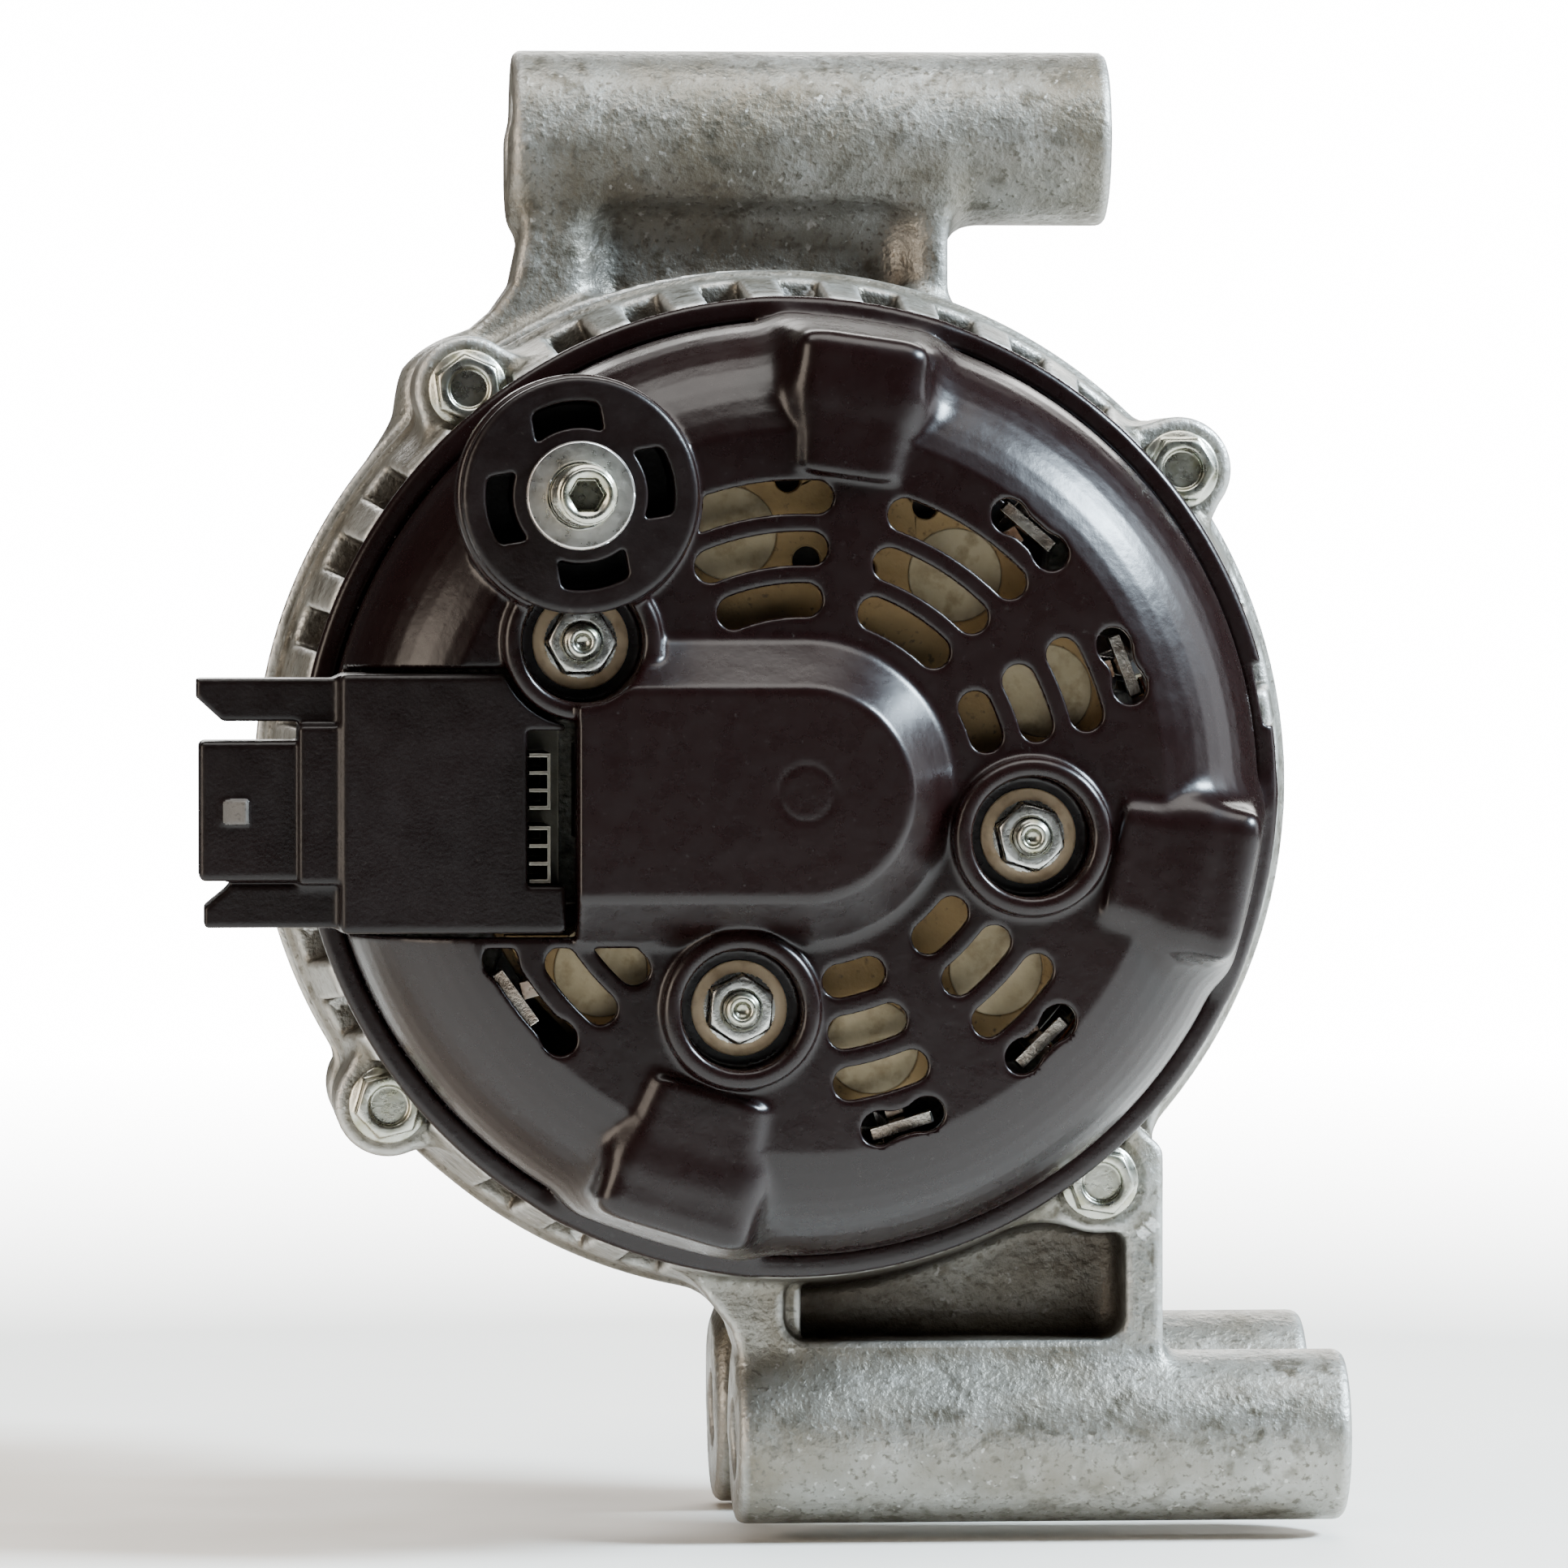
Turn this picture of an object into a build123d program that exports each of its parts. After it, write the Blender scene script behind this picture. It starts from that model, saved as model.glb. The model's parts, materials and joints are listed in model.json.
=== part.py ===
from build123d import *
import math
import os

# Car alternator with a hairpin stator, rebuilt as its separate pieces.
# Millimetres.  +Y runs along the shaft towards the pulley, +Z is up, and the
# rear view (connector to the left) has +X to the right.  The origin is on the
# shaft axis in the middle of the belt grooves.
# "Depth" is measured along the shaft from the edge of the rear cover,
# positive towards the pulley, so the belt plane is at depth BELT_DEPTH.

# ------------------------------------------------------------ overall layout
BELT_DEPTH = 103.5
STATOR_START, STATOR_END = 22.0, 54.0      # laminated core
REAR_JOINT, FRONT_JOINT = 28.0, 48.0       # faces of the two housings
HOUSING_SEAT = 65.0                        # radius that grips the core
GAP = 0.03                                 # general fitting clearance

# ------------------------------------------------------------ mounting tubes
MOUNT_BORE = 5.25                          # clears an M10 bolt
UPPER_TUBE = {"r": 12.2, "x": (-34.7, 49.0), "depth": 60.0, "z": 89.8}
LOWER_FRONT = {"r": 13.25, "x": (-6.5, 77.0), "depth": 60.0, "z": -89.0}
LOWER_REAR = {"r": 11.65, "x": (-6.5, 77.0), "depth": 14.0, "z": -89.0}

# ------------------------------------------------------------ through bolts
BOLT_RING = 68.7
BOLT_ANGLES = (38.6, 128.6, 218.6, 308.6)
BOLT_R = 2.5
LUG_R = 7.2
LUG_FACE = 8.0                             # where the bolt heads seat
VENTS = 39                                 # air windows round each housing
SCREW_R = 1.6                              # small machine screws throughout
RETAINER_RING = 28.0
RETAINER_ANGLES = (45, 135, 225, 315)

# ------------------------------------------------------------ rear cover
COVER_R = 66.0
COVER_WALL = 2.2
COVER_SKIRT = 3.2                          # depth of the open edge
GRILLE = -25.0                             # outside face of the grille
GRILLE_EDGE = 48.0                         # where the round shoulder begins
DOME_TOP = -32.0
DOME_BASE_R, DOME_TOP_R = 20.2, 13.9
DOME_LEFT = -30.0
SLOT_RINGS = (25.4, 32.2, 39.0)
SLOT_WIDTH = 4.4
SLOT_SECTORS = ((84, 116), (42, 73), (12, 31), (-54, -34), (-84, -65), (212, 230))
LEAD_WINDOWS = ((41, 56), (15, 28), (-53, -39), (-80, -66), (206, 228))
LEAD_WINDOW_RING = 45.6
LOBE_TOP = -26.4
LOBE_OUT = 61.0
LOBES = ({"angle": 82.0, "start": 42.0, "inner": 7.0, "outer": 9.2},
         {"angle": -12.3, "start": 42.0, "inner": 8.3, "outer": 10.5},
         {"angle": -107.0, "start": 41.0, "inner": 8.3, "outer": 10.9})

# ------------------------------------------------------------ cover fixings
STUDS = ((-29.2, 19.9), (30.2, -5.9), (-8.2, -28.6))
STUD_R = 2.5
WELL_R, WELL_RIM_R, WELL_RIM = 8.0, 10.5, -28.5
WELL_FLOOR = -21.0

# ------------------------------------------------------------ battery terminal
POST = (-29.9, 39.1)
POST_STUD_R = 4.0                          # M8 thread outside the washer
POST_SHANK_R = 3.6                         # plain shank inside the sleeve
POST_TIP = -54.0
POST_FACE = -36.0
POST_WASHER = 1.5
POST_DISC_R = 15.5

# ------------------------------------------------------------ rectifier
PLATE_IN, PLATE_OUT = 21.0, 43.5
POSITIVE = (-17.5, -14.5)
BUS = (-13.4, -12.2)
NEGATIVE = (-7.5, -5.0)
DIODE_RING, DIODE_R = 35.4, 6.2
DIODE_ANGLES = (105, 54, 22, -42, -74, 222)
LEAD_ANGLES = (100, 49, 21, -46, -73, 216)
LEAD_RING = 46.5

# ------------------------------------------------------------ regulator block
BLOCK_X = (-61.0, -31.4)
BLOCK_Z = (-18.4, 15.7)
BLOCK_DEPTH = (-28.0, -8.0)
WINDOW_X = -36.5
WINDOW_Z = (-12.2, 8.3)
FIN_X = (-36.2, -33.3)
FIN_GROUPS = ((-11.6, -4.6), (-1.9, 5.0))  # heights of the outer fins of each fold
FIN_WALL = 0.5
REGULATOR_SCREWS = ((-47, -12), (-47, 9))
NECK_X, SOCKET_X = -66.5, -79.5
SOCKET_Z = (-11.5, 6.9)
SOCKET_DEPTH = (-26.0, -12.0)
SOCKET_WALL = 1.5
PIN_DEPTH = (-19.4, -18.6)
PIN_HEIGHTS = (-7.6, -4.2, -0.8, 2.6)
PIN_HALF_W = 0.9

# ------------------------------------------------------------ rotor
ROTOR_R = 49.6
STATOR_BORE = 50.1
POLES = 8                                  # fingers on each claw pole
SHAFT_R = 9.2
FRONT_SEAT_R, REAR_SEAT_R = 8.5, 7.5
RING_R = 7.2                               # slip rings
RING_1, RING_2 = (-20.5, -15.5), (-13.0, -8.0)

# ------------------------------------------------------------ brushes
BRUSH_HALF_W, BRUSH_HALF_H = 2.2, 3.2
BRUSH_TIP, BRUSH_TAIL = -RING_R - 0.05, -17.0
HOLDER_END = -28.0
BRUSH_PLAY = 0.08                          # round each brush in its channel
HOLDER_SCREWS = ((-20, -10), (-20, 10))
SPRING_R, SPRING_WIRE, SPRING_TURNS = 1.5, 0.3, 5

# ------------------------------------------------------------ stator
SLOTS = 48
SLOT_W = 3.0
SLOT_IN, SLOT_OUT = 51.2, 60.2
COIL_W = 2.0
INNER_LAYER, OUTER_LAYER = (51.7, 55.4), (56.0, 59.7)
HAIRPIN_REACH = 10.0

# ------------------------------------------------------------ bearings
FRONT_BEARING = {"bore": 8.5, "out": 23.5, "start": 68.0, "end": 82.0,
                 "ball": 4.3, "balls": 8}
REAR_BEARING = {"bore": 7.5, "out": 16.0, "start": 0.0, "end": 9.0,
                "ball": 2.4, "balls": 9}

# ------------------------------------------------------------ pulley
PULLEY_START, PULLEY_END = 90.0, 117.0
PULLEY_R = 28.5
RIBS = 7
RIB_PITCH = 3.56
RIB_DEPTH = 2.9


# ---------------------------------------------------------------- helpers
def y_at(depth):
    return depth - BELT_DEPTH


def slab(outline, start, end):
    """Extrude an outline drawn in the rear view between two depths."""
    plane = Plane(origin=(0, y_at(end), 0), x_dir=(1, 0, 0), z_dir=(0, -1, 0))
    return extrude(plane * outline, end - start)


def disc(radius, start, end, x=0.0, z=0.0):
    return slab(Pos(x, z) * Circle(radius), start, end)


def ring(inner, outer, start, end, x=0.0, z=0.0):
    return slab(Pos(x, z) * (Circle(outer) - Circle(inner)), start, end)


def hexagon(flats, start, end, x=0.0, z=0.0):
    outline = RegularPolygon(flats / 2, 6, major_radius=False)
    return slab(Pos(x, z) * outline, start, end)


def turned(points):
    """Solid of revolution about the shaft from (radius, depth) points."""
    outline = Polyline(*[(r, y_at(d)) for r, d in points], close=True)
    return revolve(make_face(outline), Axis.Y, 360)


def block(x0, x1, start, end, z0, z1):
    middle = Pos((x0 + x1) / 2, y_at((start + end) / 2), (z0 + z1) / 2)
    return middle * Box(x1 - x0, end - start, z1 - z0)


def bar_x(radius, x0, x1, depth, z):
    """Round bar lying along X."""
    middle = Pos((x0 + x1) / 2, y_at(depth), z)
    return middle * Rot(0, 90, 0) * Cylinder(radius, x1 - x0)


def turn(angle):
    """Rotation about the shaft, counter-clockwise in the rear view."""
    return Rot(0, -angle, 0)


def polar(radius, angle):
    a = math.radians(angle)
    return radius * math.cos(a), radius * math.sin(a)


def around(shape, count, first=0.0):
    return [turn(first + k * 360 / count) * shape for k in range(count)]


def polygon(*points):
    return make_face(Polyline(*points, close=True))


def group(shapes):
    solids = []
    for shape in shapes:
        solids.extend(shape.solids())
    return Compound(children=solids)


def near_depth(shape, depth, tolerance=0.05):
    """Edges of a shape that lie wholly at one depth."""
    found = []
    for edge in shape.edges():
        box = edge.bounding_box()
        if abs(box.min.Y - y_at(depth)) < tolerance and abs(box.max.Y - y_at(depth)) < tolerance:
            found.append(edge)
    return found


# ---------------------------------------------------------------- housings
def lug_outline(radius):
    """Four bolt lugs flared into the round body."""
    total = Circle(radius)
    for angle in BOLT_ANGLES:
        x, z = polar(BOLT_RING, angle)
        pair = Circle(56).edges() + (Pos(x, z) * Circle(LUG_R)).edges()
        total += make_hull(pair)
    return total


def sector(inner, outer, first, last, soft):
    """Ring segment between two angles with softened corners."""
    outline = [
        Line(polar(inner, first), polar(outer, first)),
        CenterArc((0, 0), outer, first, last - first),
        Line(polar(outer, last), polar(inner, last)),
        CenterArc((0, 0), inner, first, last - first),
    ]
    edges = []
    for piece in outline:
        edges.extend(piece.edges())
    face = make_face(edges)
    return fillet(face.vertices(), soft)


def bolt_holes(radius, start, end):
    outline = [Pos(*polar(BOLT_RING, a)) * Circle(radius) for a in BOLT_ANGLES]
    return slab(Sketch() + outline, start, end)


def vents(first, last, inner, count, width, keep_out):
    """Radial windows through the round wall, left out near each given angle."""
    cutters = []
    for k in range(count):
        angle = (k + 0.5) * 360 / count
        blocked = False
        for middle, half in keep_out:
            away = abs((angle - middle + 180) % 360 - 180)
            blocked = blocked or away < half
        if not blocked:
            cutters.append(turn(angle) * block(inner, 80, first, last, -width / 2, width / 2))
    return cutters


def rear_housing():
    """Rear casting: bearing hub, inlet windows, outlet vents and one mounting tube."""
    barrel = turned([(0, 0), (59.4, 0), (59.4, 3.3), (66.4, 3.3), (69.4, 23.5),
                     (70.3, 24.5), (70.3, REAR_JOINT), (0, REAR_JOINT)])
    lugs = slab(lug_outline(60), LUG_FACE, REAR_JOINT)
    web = slab(fillet(polygon((-20, -40), (-20, -60), (-12.8, -66.5), (-7.3, -73.6), (-5.1, -80),
                              (-5.1, -89), (51.7, -89), (51.7, -44), (40, -40)).vertices(), 1.5),
               LUG_FACE, 25.6)
    pocket = polygon((0, -59.4), (0, -75.4), (46.5, -75.4), (46.5, -59.4))
    web -= slab(fillet(pocket.vertices(), 3), LUG_FACE - 1, 20.5)
    rib = block(0.5, 2.4, LUG_FACE + 2, 21, -75, -60)
    tube = bar_x(LOWER_REAR["r"], *LOWER_REAR["x"], LOWER_REAR["depth"], LOWER_REAR["z"])
    tube = fillet(tube.edges().group_by(Axis.X)[0], 1.6)
    tube = chamfer(tube.edges().group_by(Axis.X)[-1], 0.6)
    body = barrel + lugs + web + rib + tube
    cavity = turned([(0, 5), (62.4, 5), (62.4, STATOR_START), (HOUSING_SEAT, STATOR_START),
                     (HOUSING_SEAT, REAR_JOINT + 1), (0, REAR_JOINT + 1)])
    body -= cavity
    hub = turned([(0, -3), (19.5, -3), (21.5, 0), (21.5, 6), (20, 10.5), (0, 10.5)])
    posts = [disc(6.2, NEGATIVE[1], 3, x, z) for x, z in STUDS]
    posts += [disc(3.4, -5.5, 3, x, z) for x, z in HOLDER_SCREWS]
    posts += [disc(3.6, -3, 3, x, z) for x, z in REGULATOR_SCREWS]
    body = body + hub + posts
    bearing = turned([(0, -4), (12.5, -4), (12.5, 0), (REAR_BEARING["out"], 0),
                      (REAR_BEARING["out"], 12), (0, 12)])
    windows = []
    for first, last in ((0, 31), (41, 73), (83, 134), (210, 243), (265, 296), (304, 339)):
        windows.append(sector(27, 51.5, first, last, 2.5))
    keep = [(a, 9) for a in BOLT_ANGLES] + [(-66, 22), (-90, 12)]
    cuts = [bearing, slab(Sketch() + windows, -1, 6), bolt_holes(BOLT_R + 0.25, 0, 30)]
    cuts += vents(2.0, 21.2, 60.5, VENTS, 5.4, keep)
    cuts += [bar_x(MOUNT_BORE, -10, 80, LOWER_REAR["depth"], LOWER_REAR["z"])]
    cuts += [disc(STUD_R, NEGATIVE[1] - 1, 4, x, z) for x, z in STUDS]
    cuts += [disc(SCREW_R, -6, 4, x, z) for x, z in HOLDER_SCREWS]
    cuts += [disc(SCREW_R, -4, 4, x, z) for x, z in REGULATOR_SCREWS]
    cuts += [disc(6.1, 0, LUG_FACE, *polar(BOLT_RING, a)) for a in BOLT_ANGLES]
    return body - cuts


def front_housing():
    """Drive-end casting: bearing hub, spoked face, upper and lower mounting tubes."""
    barrel = turned([(0, FRONT_JOINT), (71, FRONT_JOINT), (71, 51.5), (69.6, 52.5), (67.6, 70),
                     (62.5, 77), (0, 77)])
    lugs = slab(lug_outline(60), FRONT_JOINT, 62)
    arm = polygon((-53, 45), (-49.5, 57), (-40.5, 63), (-35, 68.5), (-33.6, 76), (-33.6, 89),
                  (26.1, 89), (26.1, 62), (40, 50), (0, 40))
    arm = slab(fillet(arm.vertices(), 3), 50, 70)
    arm += slab(polygon((25, 79), (32.5, 79), (28.2, 76.2), (26.1, 71.5), (25, 71)), 52, 68)
    hollow = fillet(polygon((-23.5, 58), (-23.5, 82), (20.5, 82), (20.5, 58)).vertices(), 4)
    arm -= slab(hollow, 49, 55)
    foot = polygon((-16, -45), (-10, -66), (-4.5, -76), (-4.5, -89), (54, -89), (52.5, -72),
                   (50.5, -45))
    foot = slab(fillet(foot.vertices(), 2), 50, 70)
    foot -= slab(fillet(polygon((4, -60), (4, -75), (44, -75), (44, -60)).vertices(), 3), 60, 71)
    upper = bar_x(UPPER_TUBE["r"], *UPPER_TUBE["x"], UPPER_TUBE["depth"], UPPER_TUBE["z"])
    upper = fillet(upper.edges().group_by(Axis.X)[0], 1.2)
    upper = chamfer(upper.edges().group_by(Axis.X)[-1], 0.6)
    lower = bar_x(LOWER_FRONT["r"], *LOWER_FRONT["x"], LOWER_FRONT["depth"], LOWER_FRONT["z"])
    lower = chamfer(lower.edges().group_by(Axis.X)[0], 1.6)
    lower = chamfer(lower.edges().group_by(Axis.X)[-1], 0.8)
    body = barrel + lugs + arm + foot + upper + lower
    cavity = turned([(0, FRONT_JOINT - 1), (HOUSING_SEAT, FRONT_JOINT - 1),
                     (HOUSING_SEAT, STATOR_END), (62.8, STATOR_END), (62.8, 68), (59, 72.5),
                     (0, 72.5)])
    body -= cavity
    hub = turned([(0, 68), (32.5, 68), (31, 77), (29, 82), (27, 84.5), (0, 84.5)])
    body += hub
    bearing = turned([(0, 60), (FRONT_BEARING["out"], 60), (FRONT_BEARING["out"], 82),
                      (14.5, 82), (14.5, 90), (0, 90)])
    window = polygon((36.5, -5.0), (56.5, -10.5), (56.5, 10.5), (36.5, 5.0))
    window = fillet(window.vertices(), 2.5)
    windows = [Rot(0, 0, 15 + 30 * k) * window for k in range(12)]
    keep = [(a, 9) for a in BOLT_ANGLES] + [(-66, 24), (-86, 16), (100, 34)]
    cuts = [bearing, slab(Sketch() + windows, 71, 80), bolt_holes(BOLT_R, FRONT_JOINT - 1, 60)]
    cuts += vents(56.5, 68.5, 61, VENTS, 5.6, keep)
    cuts += [bar_x(MOUNT_BORE, -40, 55, UPPER_TUBE["depth"], UPPER_TUBE["z"])]
    cuts += [bar_x(MOUNT_BORE, -10, 80, LOWER_FRONT["depth"], LOWER_FRONT["z"])]
    cuts += [disc(SCREW_R, 67, 76, *polar(RETAINER_RING, a)) for a in RETAINER_ANGLES]
    return body - cuts


def through_bolts():
    """Four flanged hex bolts that clamp the housings over the stator."""
    bolts = []
    for angle in BOLT_ANGLES:
        x, z = polar(BOLT_RING, angle)
        bolt = disc(5.4, LUG_FACE - 1.2, LUG_FACE, x, z)
        bolt += hexagon(8, LUG_FACE - 4.5, LUG_FACE - 1.2, x, z)
        bolt -= disc(2.6, LUG_FACE - 4.6, LUG_FACE - 3.2, x, z)
        bolt += disc(BOLT_R - GAP, LUG_FACE, 59.5, x, z)
        bolts.append(bolt)
    return group(bolts)


# ---------------------------------------------------------------- stator
def stator_core():
    """Laminated core with one open slot for each pair of hairpin legs."""
    slot = Pos((SLOT_IN + SLOT_OUT) / 2, 0) * Rectangle(SLOT_OUT - SLOT_IN, SLOT_W)
    mouth = Pos(50.4, 0) * Rectangle(2.4, 1.6)
    cuts = []
    for k in range(SLOTS):
        cuts += [Rot(0, 0, k * 360 / SLOTS) * slot, Rot(0, 0, k * 360 / SLOTS) * mouth]
    outline = Circle(HOUSING_SEAT) - Circle(STATOR_BORE) - cuts
    return slab(outline, STATOR_START, STATOR_END)


def hairpin():
    """One closed turn: two slot legs three slots apart joined at both ends."""
    pitch = 360 / SLOTS
    half = COIL_W / 2
    pieces = []
    for layer, lean, home in ((OUTER_LAYER, 1, 0), (INNER_LAYER, -1, 3)):
        leg = block(*layer, STATOR_START - 2.6, STATOR_END + 2.6, -half, half)
        pieces.append(turn(home * pitch) * leg)
        for base, way in ((STATOR_START - 2.2, -1), (STATOR_END + 2.2, 1)):
            steps = 3
            for k in range(steps):
                a0 = (home + lean * 1.5 * k / steps) * pitch
                a1 = (home + lean * 1.5 * (k + 1) / steps) * pitch
                d0 = base + way * HAIRPIN_REACH * 0.8 * k / steps
                d1 = base + way * HAIRPIN_REACH * 0.8 * (k + 1) / steps
                middle = (layer[0] + layer[1]) / 2
                run = math.radians(a1 - a0) * middle
                rise = d1 - d0
                length = math.hypot(run, rise) + 1.0
                slope = math.degrees(math.atan2(run, rise))
                link = Rot(slope, 0, 0) * Box(layer[1] - layer[0], length, COIL_W)
                link = Pos(middle, y_at((d0 + d1) / 2), 0) * link
                pieces.append(turn((a0 + a1) / 2) * link)
    for base, way in ((STATOR_START - 2.2, -1), (STATOR_END + 2.2, 1)):
        crest = base + way * HAIRPIN_REACH * 0.8
        low, high = sorted((crest - way * 0.4, crest + way * 1.8))
        cap = block(INNER_LAYER[0], OUTER_LAYER[1], low, high, -half, half)
        pieces.append(turn(1.5 * pitch) * cap)
    first = pieces[0]
    return first + pieces[1:]


def stator_winding():
    return group(around(hairpin(), SLOTS))


def slot_liners():
    """Insulating paper folded round the conductors in every slot."""
    size = SLOT_OUT - SLOT_IN - 0.1
    paper = Rectangle(size, SLOT_W - 0.1) - Rectangle(size - 0.6, SLOT_W - 0.7)
    outline = Pos((SLOT_IN + SLOT_OUT) / 2, 0) * paper
    liner = slab(outline, STATOR_START - 0.5, STATOR_END + 0.5)
    return group(around(liner, SLOTS))


# ---------------------------------------------------------------- bearings
def race_pair(size):
    """Outer and inner race of one deep-groove bearing."""
    middle = y_at((size["start"] + size["end"]) / 2)
    pitch = (size["bore"] + size["out"]) / 2
    groove = Pos(0, middle, 0) * Rot(90, 0, 0) * Torus(pitch, size["ball"] + 0.06)
    land = size["ball"] * 0.62
    outer = ring(pitch + land, size["out"], size["start"], size["end"]) - groove
    inner = ring(size["bore"], pitch - land, size["start"], size["end"]) - groove
    return outer, inner


def ball_set(size):
    middle = y_at((size["start"] + size["end"]) / 2)
    pitch = (size["bore"] + size["out"]) / 2
    ball = Pos(pitch, middle, 0) * Sphere(size["ball"])
    return group(around(ball, size["balls"]))


def ball_cage(size):
    """Ribbon that spaces the balls."""
    middle = (size["start"] + size["end"]) / 2
    pitch = (size["bore"] + size["out"]) / 2
    half = size["ball"] * 0.34
    reach = size["ball"] + 0.9
    band = ring(pitch - half, pitch + half, middle - reach, middle + reach)
    pocket = Pos(pitch, y_at(middle), 0) * Rot(0, 90, 0) * Cylinder(size["ball"] + 0.06, 3 * half)
    return band - around(pocket, size["balls"])


def bearing_seals():
    """Rubber-faced shields on both sides of the drive-end bearing."""
    size = FRONT_BEARING
    pitch = (size["bore"] + size["out"]) / 2
    low = pitch - size["ball"] * 0.62 + 0.15
    high = pitch + size["ball"] * 0.62
    near = ring(low, high, size["start"] + 0.3, size["start"] + 1.2)
    far = ring(low, high, size["end"] - 1.2, size["end"] - 0.3)
    return group([near, far])


def bearing_retainer():
    plate = Circle(31.5) - Circle(20.5)
    plate -= [Pos(*polar(RETAINER_RING, a)) * Circle(2.1) for a in RETAINER_ANGLES]
    return slab(plate, 66, 68)


def retainer_screws():
    screws = []
    for angle in RETAINER_ANGLES:
        x, z = polar(RETAINER_RING, angle)
        head = disc(3.4, 64.4, 66, x, z) - hexagon(2.2, 64.3, 65.5, x, z)
        screws.append(head + disc(SCREW_R - GAP, 66, 75, x, z))
    return group(screws)


# ---------------------------------------------------------------- rotor
def rotor_shaft():
    shaft = turned([(0, -22), (4.2, -22), (4.8, -21.2), (4.8, -5), (REAR_SEAT_R - GAP, -5),
                    (REAR_SEAT_R - GAP, 10), (SHAFT_R, 10), (SHAFT_R, 66),
                    (FRONT_SEAT_R - GAP, 66), (FRONT_SEAT_R - GAP, 105), (6.9, 106),
                    (6.9, 118.4), (6.0, 119.4), (0, 119.4)])
    return shaft - hexagon(6, 112, 120)


def claw_pole(base, tip, first):
    """Iron pole with fingers that reach across the field coil."""
    way = 1 if tip > base else -1
    low, high = sorted((base, base + way * 8))
    middle = (STATOR_START + STATOR_END) / 2
    core = sorted((base, middle))
    body = ring(SHAFT_R, 40.5, low, high) + ring(SHAFT_R, 15.4, *core)
    section = turned([(37, base), (ROTOR_R, base), (ROTOR_R, tip), (45.4, tip),
                      (39.5, base + way * 9), (37, base + way * 7)])
    finger = polygon((y_at(base), -10.4), (y_at(base), 10.4), (y_at(base + way * 8), 9.4),
                     (y_at(tip), 3.6), (y_at(tip), -3.6), (y_at(base + way * 8), -9.4))
    blank = extrude(Plane.YZ.offset(36) * finger, 16)
    finger = section & blank
    return body + around(finger, POLES, first)


def coil_bobbin():
    return turned([(15.5, 30.2), (38.4, 30.2), (38.4, 31.2), (16.8, 31.2), (16.8, 44.8),
                   (38.4, 44.8), (38.4, 45.8), (15.5, 45.8)])


def field_coil():
    coil = ring(16.9, 37.6, 31.3, 44.7)
    return fillet(coil.edges().filter_by(lambda e: e.length > 200), 0.8)


def fan(face, reach, inner, count, first):
    """Pressed-steel fan: flat plate with bent-up curved blades."""
    way = 1 if reach > face else -1
    plate = sorted((face, face + way * 1.4))
    outline = Circle(38) - Circle(18)
    for k in range(count):
        outline += Rot(0, 0, first + k * 360 / count) * (Pos(38, 0) * Rectangle(11, 9))
    outline &= Circle(43.8)
    blade_path = ThreePointArc((inner, -3.0), ((inner + 43.2) / 2, 1.2), (43.2, 2.4))
    blade = SlotArc(blade_path, 1.3)
    body = slab(outline, *plate)
    tall = sorted((face, reach))
    blades = [turn(first + k * 360 / count) * slab(blade, *tall) for k in range(count)]
    return body + blades


def slip_ring_insulator():
    return turned([(4.85, -21.6), (8.0, -21.6), (8.0, -20.6), (5.6, -20.6), (5.6, -15.4),
                   (8.0, -15.4), (8.0, -13.1), (5.6, -13.1), (5.6, -7.9), (8.0, -7.9),
                   (8.0, -6.0), (4.85, -6.0)])


def slip_rings():
    return group([ring(5.62, RING_R, *RING_1), ring(5.62, RING_R, *RING_2)])


def pulley_spacer():
    return turned([(FRONT_SEAT_R, 82), (11.5, 82), (14.0, 84.6), (14.0, 86.5), (12.5, 90),
                   (FRONT_SEAT_R, 90)])


def pulley():
    """Poly-vee pulley with the nut sunk in its front recess."""
    profile = [(FRONT_SEAT_R, PULLEY_START), (25.5, PULLEY_START), (PULLEY_R, PULLEY_START + 0.6)]
    first = BELT_DEPTH - (RIBS - 1) / 2 * RIB_PITCH
    for k in range(RIBS):
        centre = first + k * RIB_PITCH
        profile += [(PULLEY_R - 0.6, centre - 1.5), (PULLEY_R - 0.6 - RIB_DEPTH, centre - 0.25),
                    (PULLEY_R - 0.6 - RIB_DEPTH, centre + 0.25), (PULLEY_R - 0.6, centre + 1.5)]
    profile += [(PULLEY_R, PULLEY_END - 0.6), (PULLEY_R - 0.6, PULLEY_END), (20, PULLEY_END),
                (19, 106), (FRONT_SEAT_R, 106)]
    back = turned([(16, PULLEY_START - 1), (22, PULLEY_START - 1), (22, 100), (16, 98)])
    return turned(profile) - back


def pulley_nut():
    nut = hexagon(22, 107, 116) + disc(12.4, 106, 107)
    return nut - disc(6.95, 105, 117)


# ---------------------------------------------------------------- rectifier
def plate_outline(outer):
    outline = Circle(outer) - Circle(PLATE_IN)
    outline -= Pos(-43, -1.3) * Rectangle(60, 35.4)
    return outline


def positive_heat_sink():
    """Cooling plate carrying the positive diodes and the battery stud."""
    outline = plate_outline(PLATE_OUT) + Pos(*POST) * Circle(10)
    outline += polygon((-38, 36), (-20, 30), (-12, 38), (-24, 48))
    outline -= [Pos(x, z) * Circle(4.45) for x, z in STUDS]
    outline -= [Pos(*polar(DIODE_RING, a)) * Circle(DIODE_R) for a in DIODE_ANGLES]
    outline -= Pos(*POST) * Circle(POST_STUD_R + 0.02)
    outline -= [Pos(*polar(30.6, a)) * Circle(1.9) for a in (88, 74, 4, -58, -92)]
    outline -= [Pos(*polar(41.4, a)) * Circle(1.7) for a in (92, 66, 38, -28, -88)]
    return slab(outline, *POSITIVE)


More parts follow.
